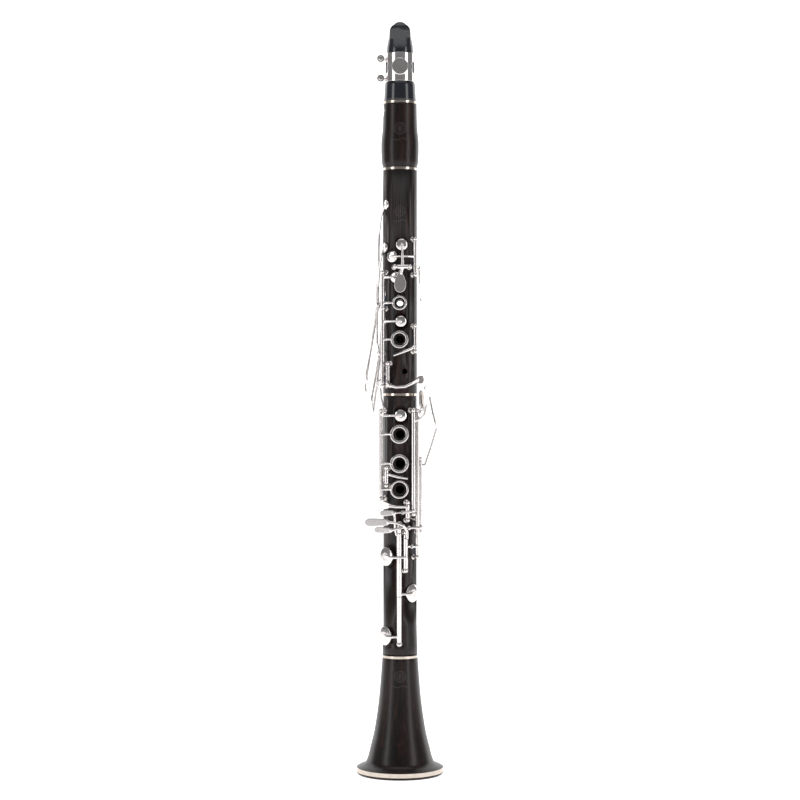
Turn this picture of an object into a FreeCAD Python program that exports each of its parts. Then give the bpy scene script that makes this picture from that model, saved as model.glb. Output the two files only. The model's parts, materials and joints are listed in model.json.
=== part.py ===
"""Soprano clarinet with Boehm-system keywork, one solid piece (or group of like pieces) per STEP file.

Millimetres.  The origin is on the bore's axis at the bell's foot.  +Z runs up the bore to the
mouthpiece, the tone holes face -Y and the thumb's side faces +Y.  Places round the body are polar:
an angle of 0 is the front, +90 is the +X side and 180 is the thumb's side.

Every key is drawn with its pad on its seat.  A key that stands open is then turned back to rest.
"""
import FreeCAD, Part
import math, os

V = FreeCAD.Vector
UP = V(0, 0, 1)

# ---------------------------------------------------------------- driving sizes: the five joints
BELL_LENGTH = 108.5
LOWER_LENGTH = 239.5
UPPER_LENGTH = 204.2
BARREL_LENGTH = 63.0
MOUTHPIECE_LENGTH = 74.8        # from the shoulder to the tip

LOWER_RADIUS = 15.3
LOWER_FOOT_RADIUS = 16.0        # the lower joint swells a little above the bell
UPPER_RADIUS = 15.6
BORE_RADIUS = 7.4
BELL_RIM_RADIUS = 40.0
BELL_WALL = 3.6
BARREL_END_RADIUS = 15.2
BARREL_BELLY_RADIUS = 17.1

LOWER_FOOT = BELL_LENGTH
UPPER_FOOT = LOWER_FOOT + LOWER_LENGTH
BARREL_FOOT = UPPER_FOOT + UPPER_LENGTH
MOUTHPIECE_FOOT = BARREL_FOOT + BARREL_LENGTH
TIP = MOUTHPIECE_FOOT + MOUTHPIECE_LENGTH

# ---------------------------------------------------------------- tenons, sockets and rings
TENON_RADIUS = 11.2             # over the cork
TENON_LENGTH = 17.5
MOUTHPIECE_TENON_LENGTH = 15.5
CORK_DEPTH = 1.0
CORK_MARGIN = 2.6               # bare tenon left at each end of the cork
SOCKET_CLEARANCE = 0.05         # radial, a sliding fit
SOCKET_SPARE = 0.6              # depth past the tenon's end
RING_HEIGHT = 2.2
RING_DEPTH = 1.3
RING_PROUD = 0.15

# ---------------------------------------------------------------- keywork stock sizes
ROD_RADIUS = 0.9
ROD_CLEARANCE = 0.05            # radial, between a steel rod and its key's tube
TUBE_RADIUS = 2.05
END_PLAY = 0.2                  # along the rod, between a tube's end and its post
POST_BALL_RADIUS = 2.25
POST_STEM_RADIUS = 1.5
POST_FLANGE_RADIUS = 2.5
HINGE_HEIGHT = 5.0              # rod above the wood
LOW_HINGE_HEIGHT = 4.2
ARM_RADIUS = 1.05
STEM_RADIUS = 1.25
PLATE_THICKNESS = 1.5
PAD_THICKNESS = 2.0
PAD_GAP = 0.06                  # a closed pad stands this far off its seat
CUP_WALL = 0.5
CUP_DOME = 1.1
CUP_SKIRT = 1.3
SEAT_RIM_HEIGHT = 0.7
SEAT_RIM_WIDTH = 0.9
RECESS_MARGIN = 0.9
RING_KEY_THICKNESS = 1.3
CHIMNEY_HEIGHT = 1.7
CHIMNEY_CLEARANCE = 0.55        # radial, between a finger ring and the chimney inside it
SPRING_RADIUS = 0.3


# ---------------------------------------------------------------- plain geometry
def outward(angle):
    """Unit vector from the bore's axis at an angle round the body."""
    turn = math.radians(angle)
    return V(math.sin(turn), -math.cos(turn), 0)


def sideways(angle):
    """Unit vector round the body, towards larger angles."""
    turn = math.radians(angle)
    return V(math.cos(turn), math.sin(turn), 0)


def polar(radius, angle, height):
    return outward(angle) * radius + UP * height


def rod(start, end, radius):
    return Part.makeCylinder(radius, (end - start).Length, start, end - start)


def taper(start, end, start_radius, end_radius):
    if abs(start_radius - end_radius) < 1e-6:
        return rod(start, end, start_radius)
    return Part.makeCone(start_radius, end_radius, (end - start).Length, start, end - start)


def join(solids):
    """Fuse overlapping solids into one."""
    if len(solids) == 1:
        return solids[0]
    body = solids[0].multiFuse(solids[1:])
    if not body.isValid():
        body = body.removeSplitter()
    if len(body.Solids) != 1:
        raise ValueError("pieces do not meet: %d solids" % len(body.Solids))
    return body.Solids[0]


FLATS = 12                      # filed flats round a forged arm
KNUCKLE_LATITUDES = (-66, -24, 24, 66)


def facets(rings):
    """A solid with flat sides between parallel rings of points."""
    faces = [Part.Face(Part.makePolygon(ring + ring[:1])) for ring in (rings[0], rings[-1])]
    for lower, upper in zip(rings, rings[1:]):
        for i in range(FLATS):
            j = (i + 1) % FLATS
            corners = [lower[i], lower[j], upper[j], upper[i]]
            faces.append(Part.Face(Part.makePolygon(corners + corners[:1])))
    solid = Part.Solid(Part.Shell(faces))
    return solid if solid.Volume > 0 else solid.reversed()


def flat_ring(centre, along, radius):
    """Points round a circle, one for each flat."""
    side = along.cross(V(0.31, 0.22, 0.92)).normalize()
    over = along.cross(side)
    angles = [2 * math.pi * (i + 0.37) / FLATS for i in range(FLATS)]
    return [centre + side * (radius * math.cos(a)) + over * (radius * math.sin(a)) for a in angles]


def bar(start, end, start_radius, end_radius):
    along = (end - start).normalize()
    return facets([flat_ring(start, along, start_radius), flat_ring(end, along, end_radius)])


def knuckle(centre, along, radius):
    rings = []
    for latitude in KNUCKLE_LATITUDES:
        turn = math.radians(latitude)
        rings.append(flat_ring(centre + along * (radius * math.sin(turn)), along, radius * math.cos(turn)))
    return facets(rings)


def limb(points, radii):
    """A forged arm: tapering bars between knuckles along a path."""
    solids = []
    for i, (point, radius) in enumerate(zip(points, radii)):
        before, after = points[max(i - 1, 0)], points[min(i + 1, len(points) - 1)]
        solids.append(knuckle(point, (after - before).normalize(), radius * 1.07))
    for i in range(len(points) - 1):
        solids.append(bar(points[i], points[i + 1], radii[i], radii[i + 1]))
    return solids


def plate(start, end, half_widths, normal, thickness=PLATE_THICKNESS):
    """A flat finger plate from start to end; half_widths are evenly spaced between its two tips."""
    along = end - start
    length = along.Length
    along.normalize()
    face_normal = V(normal)
    face_normal = face_normal - along * face_normal.dot(along)
    face_normal.normalize()
    across = face_normal.cross(along)
    count = len(half_widths)
    stations = [length * (i + 0.5) / count for i in range(count)]
    outline = [start]
    outline += [start + along * s + across * w for s, w in zip(stations, half_widths)]
    outline.append(end)
    outline += [start + along * s - across * w for s, w in reversed(list(zip(stations, half_widths)))]
    curve = Part.BSplineCurve()
    curve.interpolate(Points=outline, PeriodicFlag=True)
    face = Part.Face(Part.Wire([curve.toShape()]))
    face.translate(face_normal * (-thickness / 2))
    return face.extrude(face_normal * thickness)


def turned(profile):
    """A solid of revolution about the bore's axis from (radius, height) points."""
    wire = Part.makePolygon([V(r, 0, z) for r, z in profile + profile[:1]])
    return Part.Face(wire).revolve(V(0, 0, 0), UP, 360)


def turned_about(profile, origin, axis):
    """A solid of revolution about any axis; profile is (radius, distance along the axis)."""
    solid = turned(profile)
    solid.Placement = FreeCAD.Placement(origin, FreeCAD.Rotation(UP, axis))
    return solid


def smooth_turned(outer, inner_profile):
    """Revolve a smooth outer curve, given from the bottom up, closed by straight inner points."""
    curve = Part.BSplineCurve()
    curve.interpolate([V(r, 0, z) for r, z in outer])
    points = [V(outer[-1][0], 0, outer[-1][1])]
    points += [V(r, 0, z) for r, z in inner_profile]
    points.append(V(outer[0][0], 0, outer[0][1]))
    edges = [curve.toShape()] + [Part.makeLine(a, b) for a, b in zip(points, points[1:])]
    return Part.Face(Part.Wire(edges)).revolve(V(0, 0, 0), UP, 360)


# ---------------------------------------------------------------- parts of a key
class Hinge:
    """A rod between two posts.  Pressing the key turns it by a positive angle about `axis`."""

    def __init__(self, start, end, press_axis, foot_angle, body_radius, tube_radius=TUBE_RADIUS):
        self.start, self.end = start, end
        self.axis = V(press_axis)
        self.foot_angle = foot_angle
        self.body_radius = body_radius
        self.tube_radius = tube_radius
        self.line = (end - start).normalize()

    def tube(self, radius=None):
        inset = self.line * (POST_FLAT + END_PLAY)
        return rod(self.start + inset, self.end - inset, radius or self.tube_radius)

    def bore(self):
        return rod(self.start, self.end, ROD_RADIUS + ROD_CLEARANCE)

    def steel(self):
        reach = self.line * POST_FLAT
        return rod(self.start - reach, self.end + reach, ROD_RADIUS)


POST_FLAT = 1.6                 # half the ball's thickness between its two flats
POST_DEPTH = 3.0                # screwed into the wood
POST_FLANGE = 0.9


def upright_hinge(body_radius, lift, angle, low, high, press):
    """A hinge along the body.  press is +1 or -1: the turn about +Z when the key is pressed."""
    radius = body_radius + lift
    return Hinge(polar(radius, angle, low), polar(radius, angle, high), UP * press, angle, body_radius)


class PadSite:
    """A tone hole with a flat seat facing `angle`, moved `offset` round the body."""

    def __init__(self, angle, offset, height, seat_level, cup_radius, hole_radius):
        self.normal = outward(angle)
        self.origin = polar(seat_level, angle, height) + sideways(angle) * offset
        self.seat_level, self.cup_radius, self.hole_radius = seat_level, cup_radius, hole_radius

    def recess(self):
        """What is cut from the wood: the hole, and a sunk floor that leaves a raised seat."""
        floor = self.origin - self.normal * SEAT_RIM_HEIGHT
        wide = rod(floor, self.origin + self.normal * 12, self.cup_radius + RECESS_MARGIN)
        rim = rod(floor - self.normal, self.origin, self.hole_radius + SEAT_RIM_WIDTH)
        hole = rod(self.origin - self.normal * self.seat_level, self.origin + self.normal, self.hole_radius)
        return [wide.cut(rim), hole]

    def pad(self):
        radius = self.cup_radius - CUP_WALL
        low, high = PAD_GAP, PAD_GAP + PAD_THICKNESS
        profile = [(0, low), (radius - 0.4, low), (radius, low + 0.4), (radius, high), (0, high)]
        return turned_about(profile, self.origin, self.normal)

    def cup(self):
        radius, roof = self.cup_radius, PAD_GAP + PAD_THICKNESS
        inner = radius - CUP_WALL
        top = roof + CUP_DOME
        profile = [(0, roof), (inner, roof), (inner, roof - CUP_SKIRT), (radius, roof - CUP_SKIRT),
                   (radius, roof + 0.25 * CUP_DOME), (0.8 * radius, roof + 0.72 * CUP_DOME),
                   (0.45 * radius, top), (0, top)]
        return turned_about(profile, self.origin, self.normal)

    def crown(self, rise=0.0):
        """A point on the cup's roof, where the arm lands."""
        return self.origin + self.normal * (PAD_GAP + PAD_THICKNESS + 0.55 * CUP_DOME + rise)


class RingSite:
    """An open tone hole with a raised chimney, and the finger ring that goes down round it."""

    def __init__(self, height, body_radius, ring_outer, ring_inner, hole_radius):
        self.height, self.body_radius = height, body_radius
        self.ring_outer, self.ring_inner, self.hole_radius = ring_outer, ring_inner, hole_radius
        self.top = body_radius + CHIMNEY_HEIGHT

    def chimney(self, angle):
        base = polar(self.body_radius - 3, angle, self.height)
        return rod(base, polar(self.top, angle, self.height), self.ring_inner - CHIMNEY_CLEARANCE)

    def hole(self, angle):
        return rod(UP * self.height, polar(self.top + 1, angle, self.height), self.hole_radius)

    def ring(self, angle):
        low, high = self.top - RING_KEY_THICKNESS, self.top
        edge = 0.35
        outer, inner = self.ring_outer, self.ring_inner
        profile = [(inner, low + edge), (inner + edge, low), (outer - edge, low), (outer, low + edge),
                   (outer, high - edge), (outer - edge, high), (inner + edge, high), (inner, high - edge)]
        return turned_about(profile, UP * self.height, outward(angle))

    def edge(self, angle, side):
        """The ring's own edge, where its arm starts; side is -1 for smaller angles."""
        middle = (self.ring_outer + self.ring_inner) / 2
        centre = polar(self.top - RING_KEY_THICKNESS / 2, angle, self.height)
        return centre + sideways(angle) * (side * middle)


def stand_open(solid, hinge, degrees):
    """Turn a key back from its pressed place to where its spring holds it."""
    copy = solid.copy()
    copy.rotate(hinge.start, hinge.axis, -degrees)
    return copy


def post(point, hinge):
    """A turned pillar screwed into the wood, with a flatted ball for the rod."""
    direction = outward(hinge.foot_angle)
    reach = point.dot(direction)
    side = point - direction * reach
    surface = math.sqrt(hinge.body_radius ** 2 - V(side.x, side.y, 0).Length ** 2)
    foot = side + direction * (surface - SINK)
    solids = [rod(foot - direction * POST_DEPTH, foot, POST_STEM_RADIUS)]
    solids.append(rod(foot, foot + direction * (POST_FLANGE + SINK), POST_FLANGE_RADIUS))
    solids.append(taper(foot, point, POST_STEM_RADIUS, POST_STEM_RADIUS * 0.85))
    slab = rod(point - hinge.line * POST_FLAT, point + hinge.line * POST_FLAT, POST_BALL_RADIUS + 1)
    solids.append(Part.makeSphere(POST_BALL_RADIUS, point).common(slab))
    return join(solids)


SINK = 0.6                      # how far a post's flange is let into the wood


def post_socket(point, hinge):
    """The screw hole and the sunk face for one post."""
    direction = outward(hinge.foot_angle)
    side = point - direction * point.dot(direction)
    surface = math.sqrt(hinge.body_radius ** 2 - V(side.x, side.y, 0).Length ** 2)
    foot = side + direction * (surface - SINK)
    return [rod(foot - direction * POST_DEPTH, foot, POST_STEM_RADIUS),
            rod(foot, foot + direction * 8, POST_FLANGE_RADIUS)]


def make_key(hinge, solids, pads=(), extra_bores=()):
    """Fuse a key's tube, arms, cups and plates, and bore it for its rod."""
    body = join([hinge.tube()] + solids).cut(hinge.bore())
    for bore in list(extra_bores) + list(pads):
        body = body.cut(bore)
    if len(body.Solids) != 1:
        raise ValueError("a key fell apart")
    return body.Solids[0], list(pads)


# ---------------------------------------------------------------- upper joint: sites and hinges
def up(height):
    return UPPER_FOOT + height


UPPER_LIFT = HINGE_HEIGHT
RING_ONE = RingSite(up(82.3), UPPER_RADIUS, 6.7, 4.8, 3.0)
RING_TWO = RingSite(up(49.0), UPPER_RADIUS, 8.05, 5.6, 3.6)
THIRD_HOLE_HEIGHT = up(20.0)
THIRD_HOLE_ANGLE = 17.0
THIRD_HOLE_RADIUS = 2.6
THUMB_RING = RingSite(up(82.0), UPPER_RADIUS, 7.0, 5.0, 3.4)

SMALL_SEAT = UPPER_RADIUS - 1.9
PAD_FIRST = PadSite(-14, 0, up(105.6), SMALL_SEAT, 5.0, 2.6)
PAD_SECOND = PadSite(4, 0, up(65.5), SMALL_SEAT, 5.0, 2.7)
PAD_A = PadSite(6, 0, up(135.4), SMALL_SEAT, 5.3, 2.4)
PAD_G_SHARP = PadSite(-27, 0, up(124.5), SMALL_SEAT, 5.2, 2.4)
PAD_E_FLAT = PadSite(78, 0, up(44.5), SMALL_SEAT, 4.6, 2.5)
PAD_C_SHARP = PadSite(-73, 0, up(18.0), SMALL_SEAT, 4.6, 2.5)
PAD_REGISTER = PadSite(180, 0, up(152.0), SMALL_SEAT + 0.5, 3.9, 1.5)

SIDE_ANGLE = -74.0              # the four side keys all move square to this direction
SIDE_SEAT = UPPER_RADIUS - 2.7
SIDE_LEVER_WIDTH = 2.2
SIDE_GAP = 0.8                  # between the two levers of a pair
SIDE_PAIR_GAP = 2.2             # between the pairs, where they share a line of posts
SIDE_FIRST_OFFSET = 1.9
SIDE_PITCH = SIDE_LEVER_WIDTH + SIDE_GAP
SIDE_OFFSETS = [SIDE_FIRST_OFFSET, SIDE_FIRST_OFFSET - SIDE_PITCH,
                SIDE_FIRST_OFFSET - SIDE_PITCH - SIDE_LEVER_WIDTH - SIDE_PAIR_GAP,
                SIDE_FIRST_OFFSET - 2 * SIDE_PITCH - SIDE_LEVER_WIDTH - SIDE_PAIR_GAP]
SIDE_PADS = [PadSite(SIDE_ANGLE, 0.4, up(66.0), SIDE_SEAT, 4.3, 2.5),
             PadSite(SIDE_ANGLE, 0.4, up(91.0), SIDE_SEAT, 4.3, 2.4),
             PadSite(SIDE_ANGLE, 2.5, up(133.2), SIDE_SEAT + 0.4, 4.75, 2.3),
             PadSite(SIDE_ANGLE, 4.0, up(172.3), SIDE_SEAT - 0.4, 4.75, 2.2)]
SIDE_PIVOT_RADIUS = UPPER_RADIUS + 4.0
SIDE_POST_THICKNESS = 1.4
SIDE_POST_CLEARANCE = 0.4


def side_point(level, offset, height):
    return polar(level, SIDE_ANGLE, height) + sideways(SIDE_ANGLE) * offset


class SideHinge(Hinge):
    """A short cross rod that carries a pair of side keys between two thin posts."""

    def __init__(self, front_offset, back_offset, height):
        half = SIDE_LEVER_WIDTH / 2 + SIDE_POST_CLEARANCE + SIDE_POST_THICKNESS / 2
        front = side_point(SIDE_PIVOT_RADIUS, front_offset + half, height)
        back = side_point(SIDE_PIVOT_RADIUS, back_offset - half, height)
        super().__init__(back, front, sideways(SIDE_ANGLE), SIDE_ANGLE, UPPER_RADIUS)
        self.height = height

    def steel(self):
        reach = self.line * (SIDE_POST_THICKNESS / 2 + 0.4)
        return rod(self.start - reach, self.end + reach, ROD_RADIUS)


SIDE_HINGES = [SideHinge(SIDE_OFFSETS[0], SIDE_OFFSETS[1], up(37.0)),
               SideHinge(SIDE_OFFSETS[2], SIDE_OFFSETS[3], up(82.0))]


def upper_upright(angle, low, high, press, lift=UPPER_LIFT):
    return upright_hinge(UPPER_RADIUS, lift, angle, up(low), up(high), press)


def cross_hinge(radius, angle, height, half_width, press, body_radius):
    """A short hinge across the body."""
    centre = polar(radius, angle, height)
    across = sideways(angle) * half_width
    return Hinge(centre - across, centre + across, sideways(angle) * press, angle, body_radius)


RING_HINGE_ANGLE = -50.0
UPPER_HINGES = {
    "first_ring_key": upper_upright(RING_HINGE_ANGLE, 77.3, 110.5, 1),
    "second_ring_key": upper_upright(RING_HINGE_ANGLE, 7.0, 77.3, 1),
    "throat_g_sharp_key": upper_upright(44.6, 108.0, 140.6, 1, LOW_HINGE_HEIGHT),
    "throat_a_key": cross_hinge(UPPER_RADIUS + 6.9, 6, up(114.8), 6.8, 1, UPPER_RADIUS),
    "e_flat_sliver_key": upper_upright(45.0, 38.3, 61.5, -1, LOW_HINGE_HEIGHT),
    "c_sharp_key": upper_upright(-34.0, 7.4, 27.2, 1, LOW_HINGE_HEIGHT),
    "register_key": cross_hinge(UPPER_RADIUS + 4.6, 180, up(121.0), 5.4, 1, UPPER_RADIUS),
    "thumb_ring_key": upper_upright(-142.0, 71.5, 92.5, -1, LOW_HINGE_HEIGHT),
}

# ---------------------------------------------------------------- lower joint: sites and hinges
def low(height):
    return LOWER_FOOT + height


RH_RINGS = [RingSite(low(202.3), LOWER_RADIUS, 8.55, 5.8, 3.9),
            RingSite(low(175.6), LOWER_RADIUS, 8.6, 5.8, 4.1),
            RingSite(low(152.1), LOWER_RADIUS, 8.45, 6.5, 3.9)]
PAD_TOP = PadSite(4, 0, low(219.3), LOWER_RADIUS - 1.9, 5.4, 3.0)
PAD_SLIVER = PadSite(-82, 0, low(163.0), LOWER_RADIUS - 1.9, 5.0, 3.0)
PAD_A_FLAT = PadSite(88, 0, low(124.3), LOWER_RADIUS - 2.3, 6.6, 4.2)
PAD_F = PadSite(-53, 0, low(90.7), LOWER_RADIUS - 2.7, 8.5, 5.4)
PAD_F_SHARP = PadSite(51, 0, low(57.1), LOWER_RADIUS - 2.7, 8.4, 5.4)
PAD_E = PadSite(-57, 0, low(18.3), LOWER_RADIUS - 2.6, 8.6, 5.8)

COLUMN_ANGLE = -2.0             # carries the E and F sharp keys, one tube inside the other
F_COLUMN_ANGLE = 14.5
INNER_TUBE_RADIUS = 1.45
NEST_CLEARANCE = 0.05


def lower_upright(angle, bottom, top, press, lift=HINGE_HEIGHT):
    return upright_hinge(LOWER_RADIUS, lift, angle, low(bottom), low(top), press)


LEVER_LIFT = 5.4                # the left-hand levers clear the A flat key's arm under them

LOWER_HINGES = {
    "lower_ring_key": lower_upright(-57.0, 144.0, 224.0, 1, 5.3),
    "b_natural_sliver_key": lower_upright(-39.0, 155.6, 171.6, 1, LOW_HINGE_HEIGHT),
    "a_flat_key": lower_upright(20.0, 124.4, 140.4, -1),
    "f_key": lower_upright(F_COLUMN_ANGLE, 78.5, 113.0, -1),
    "e_key": lower_upright(COLUMN_ANGLE, 11.5, 121.0, -1),
    "left_f_sharp_lever": lower_upright(36.0, 129.6, 224.0, 1, LEVER_LIFT),
    "left_f_lever": lower_upright(49.5, 90.5, 224.0, 1, LEVER_LIFT),
    "left_e_lever": lower_upright(63.0, 113.4, 180.0, 1, LEVER_LIFT),
}


# ---------------------------------------------------------------- how far the keys move
CLOSED_KEYS = {                 # degrees each key opens when pressed
    "throat_a_key": 5.0, "throat_g_sharp_key": 4.8, "e_flat_sliver_key": 9.0, "c_sharp_key": 8.0,
    "register_key": 3.4, "side_key_1": 3.6, "side_key_2": 2.1, "side_key_3": 2.2, "side_key_4": 1.4,
    "b_natural_sliver_key": 7.5, "a_flat_key": 5.0, "f_sharp_key": 8.0,
}
OPEN_KEYS = {                   # degrees each key closes when pressed
    "first_ring_key": 6.0, "second_ring_key": 6.0, "thumb_ring_key": 6.0, "lower_ring_key": 5.5,
    "f_key": 7.0, "e_key": 8.0,
}
PIN_RADIUS = 0.5                # the pins that tie the left-hand levers to the little-finger keys
PIN_HOLE_RADIUS = 0.9
EYE_RADIUS = 2.0
EYE_SLOT = 0.6                  # the eye is a short slot, because the two levers swing on different arcs


def ring_arm(hinge, ring, angle=0.0):
    """The arm from a ring's left edge to its hinge tube."""
    hub = polar(hinge.start.dot(outward(hinge.foot_angle)), hinge.foot_angle, ring.height)
    edge = ring.edge(angle, -1)
    middle = (hub + edge) * 0.5 + outward(hinge.foot_angle / 2) * 0.9
    return limb([hub, middle, edge], [1.3, 1.15, 0.8])


def cup_arm(hinge, site, radii=(1.3, 1.1, 1.1, 1.1)):
    """The arm from the hinge tube over to the middle of a cup, and the boss it lands on."""
    height = site.origin.z
    hub = polar(hinge.start.dot(outward(hinge.foot_angle)), hinge.foot_angle, height)
    crown = site.crown()
    half_way = (site.normal + outward(hinge.foot_angle)).normalize()
    middle = half_way * (hinge.body_radius + 2.9) + UP * height
    over = crown + site.normal * 1.0 + (hub - crown).normalize() * (site.cup_radius * 0.35)
    return limb([hub, middle, over, crown], list(radii))


# ---------------------------------------------------------------- upper joint keys
def first_ring_key():
    hinge = UPPER_HINGES["first_ring_key"]
    solids = [RING_ONE.ring(0), PAD_FIRST.cup()]
    solids += ring_arm(hinge, RING_ONE) + cup_arm(hinge, PAD_FIRST)
    return make_key(hinge, solids, [PAD_FIRST.pad()])


BRIDGE_GAP = 1.1                # between the two bridge levers, across the joint


def second_ring_key():
    hinge = UPPER_HINGES["second_ring_key"]
    solids = [RING_TWO.ring(0), PAD_SECOND.cup()]
    solids += ring_arm(hinge, RING_TWO) + cup_arm(hinge, PAD_SECOND)
    hub_radius = UPPER_RADIUS + UPPER_LIFT
    over = hub_radius + 2.8 + BRIDGE_GAP
    tail = [polar(hub_radius, RING_HINGE_ANGLE, up(13)), polar(over, RING_HINGE_ANGLE - 6, up(10.5)),
            polar(over, RING_HINGE_ANGLE - 7, up(1.2))]
    solids += limb(tail, [1.3, 1.1, 1.0])
    return make_key(hinge, solids, [PAD_SECOND.pad()])


def throat_a_key():
    hinge = UPPER_HINGES["throat_a_key"]
    level = UPPER_RADIUS + 6.9
    angle = 6
    crown = PAD_A.crown()
    stem = [crown, polar(level - 0.7, angle, up(128)), polar(level, angle, up(114.8)),
            polar(level - 0.2, angle - 3, up(109))]
    solids = limb(stem, [1.3, 1.1, 1.5, 1.2]) + [PAD_A.cup()]
    touch = plate(polar(level - 0.4, 0.5, up(112.0)), polar(level - 0.9, 0, up(91.5)),
                  [1.6, 3.4, 5.0, 5.2, 3.9], outward(0), 1.7)
    solids.append(touch)
    return make_key(hinge, solids, [PAD_A.pad()])


def throat_g_sharp_key():
    hinge = UPPER_HINGES["throat_g_sharp_key"]
    level = UPPER_RADIUS + LOW_HINGE_HEIGHT
    arm_height = PAD_G_SHARP.origin.z
    arm = [polar(level, 44.6, arm_height), polar(level - 0.9, 22, arm_height),
           polar(level - 1.2, -4, arm_height), PAD_G_SHARP.crown()]
    solids = limb(arm, [1.3, 0.95, 0.95, 1.2]) + [PAD_G_SHARP.cup()]
    stem = [polar(level, 44.6, up(113)), polar(level + 0.6, 56, up(113.5)), polar(level + 0.9, 65, up(110))]
    solids += limb(stem, [1.3, 1.1, 1.2])
    touch = plate(polar(level + 0.8, 63, up(116)), polar(level + 1.0, 72, up(84)),
                  [2.4, 3.6, 4.0, 3.6, 2.6], outward(68), 1.5)
    solids.append(touch)
    return make_key(hinge, solids, [PAD_G_SHARP.pad()])


def e_flat_sliver_key():
    hinge = UPPER_HINGES["e_flat_sliver_key"]
    level = UPPER_RADIUS + LOW_HINGE_HEIGHT
    blade = [polar(level, 45, up(44.5)), polar(level + 0.4, 32, up(41.0)), polar(level + 0.2, 8, up(37.6)),
             polar(level - 0.2, -15, up(34.6))]
    solids = limb(blade, [1.5, 1.3, 1.25, 1.0]) + [PAD_E_FLAT.cup()]
    solids += cup_arm(hinge, PAD_E_FLAT)
    return make_key(hinge, solids, [PAD_E_FLAT.pad()])


def c_sharp_key():
    hinge = UPPER_HINGES["c_sharp_key"]
    level = UPPER_RADIUS + LOW_HINGE_HEIGHT
    lever = [polar(level, -34, up(11.5)), polar(level + 3.4, -31, up(9.9)), polar(level + 2.6, -24, up(7.0)),
             polar(level + 0.6, -10, up(5.5)), polar(level + 0.3, 12, up(6.0)), polar(level + 0.9, 32, up(9.2)),
             polar(level + 1.8, 47, up(12.2))]
    solids = limb(lever, [1.4, 1.35, 1.3, 1.3, 1.3, 1.35, 1.5])
    touch = plate(polar(level + 1.9, 44, up(10.8)), polar(level + 2.6, 72, up(13.6)),
                  [2.2, 3.4, 3.9, 3.2], outward(58), 1.6)
    under = [polar(level, -34, up(18)), polar(UPPER_RADIUS + 1.15, -45, up(18)),
             polar(UPPER_RADIUS + 1.1, -56, up(18)), PAD_C_SHARP.crown()]
    solids += [touch, PAD_C_SHARP.cup()] + limb(under, [1.2, 0.7, 0.7, 1.1])
    return make_key(hinge, solids, [PAD_C_SHARP.pad()])


def register_key():
    hinge = UPPER_HINGES["register_key"]
    level = UPPER_RADIUS + 4.6
    arm = [PAD_REGISTER.crown(), polar(level + 0.4, 180, up(143)), polar(level, 180, up(121)),
           polar(level + 0.5, 180, up(110)), polar(level + 2.2, 180, up(104))]
    solids = limb(arm, [1.3, 1.2, 1.5, 1.5, 1.4]) + [PAD_REGISTER.cup()]
    touch = plate(polar(level + 2.0, 180, up(108)), polar(level + 2.6, 180, up(93)),
                  [2.6, 4.0, 4.2, 3.2], outward(180), 1.6)
    solids.append(touch)
    return make_key(hinge, solids, [PAD_REGISTER.pad()])


def thumb_ring_key():
    hinge = UPPER_HINGES["thumb_ring_key"]
    hub = polar(UPPER_RADIUS + LOW_HINGE_HEIGHT, -142, THUMB_RING.height)
    edge = THUMB_RING.edge(180, 1)
    middle = (hub + edge) * 0.5 + outward(-160) * 0.7
    solids = [THUMB_RING.ring(180)] + limb([hub, middle, edge], [1.3, 1.1, 0.8])
    tail = [polar(UPPER_RADIUS + LOW_HINGE_HEIGHT, -142, up(88)), polar(UPPER_RADIUS + 3.0, -128, up(89))]
    solids += limb(tail, [1.2, 1.0])
    return make_key(hinge, solids)


# ---------------------------------------------------------------- side keys
SIDE_TOUCHES = [(27.0, 4.4, -15.9), (27.2, -0.7, -6.7), (31.8, -0.6, 12.6), (31.8, -4.6, 2.2)]
SIDE_TOUCH_HALF = 4.6
SIDE_RUNS = [                   # (level, shift from the lever's own line, height) from touch to cup
    [(25.8, 2.4, -11.5), (22.8, 1.4, 8), (20.4, 0, 27), (19.6, 0, 37), (19.0, 0, 52), (17.3, -0.6, 62)],
    [(26.3, 0, -2.5), (23.2, 0, 14), (20.6, 0, 29), (19.6, 0, 37), (21.4, 0, 46), (21.4, 0, 74), (17.6, 0.8, 86)],
    [(30.8, 0, 17.5), (27.2, 0, 34), (22.4, 0, 62), (19.6, 0, 82), (19.3, 0, 98), (19.2, 4.4, 116), (18.0, 7.4, 126)],
    [(30.8, 0, 7.0), (27.6, 0, 26), (22.8, 0, 58), (19.6, 0, 82), (19.4, 0, 100), (19.2, 4.0, 122),
     (18.9, 4.4, 146), (18.3, 9.5, 162)],
]


def side_key(index):
    """One of the four side keys: a long lever with its touch low down and its pad at the top."""
    hinge = SIDE_HINGES[index // 2]
    offset = SIDE_OFFSETS[index]
    points = [side_point(level, offset + shift, up(height)) for level, shift, height in SIDE_RUNS[index]]
    solids = limb(points + [SIDE_PADS[index].crown()], [1.0] * len(points) + [1.1])
    level, touch_offset, height = SIDE_TOUCHES[index]
    touch = plate(side_point(level - 0.6, touch_offset, up(height - SIDE_TOUCH_HALF)),
                  side_point(level + 0.5, touch_offset, up(height + SIDE_TOUCH_HALF)),
                  [2.4, 3.1, 3.1, 2.4], outward(SIDE_ANGLE), 1.5)
    neck = limb([points[0], side_point(level, touch_offset, up(height))], [1.0, 1.3])
    pivot = side_point(SIDE_PIVOT_RADIUS, offset, hinge.height)
    half = sideways(SIDE_ANGLE) * (SIDE_LEVER_WIDTH / 2)
    hub = rod(pivot - half, pivot + half, TUBE_RADIUS)
    pad = SIDE_PADS[index].pad()
    body = join([hub, touch, SIDE_PADS[index].cup()] + solids + neck)
    return body.cut(hinge.bore()).cut(pad), [pad]


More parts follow.
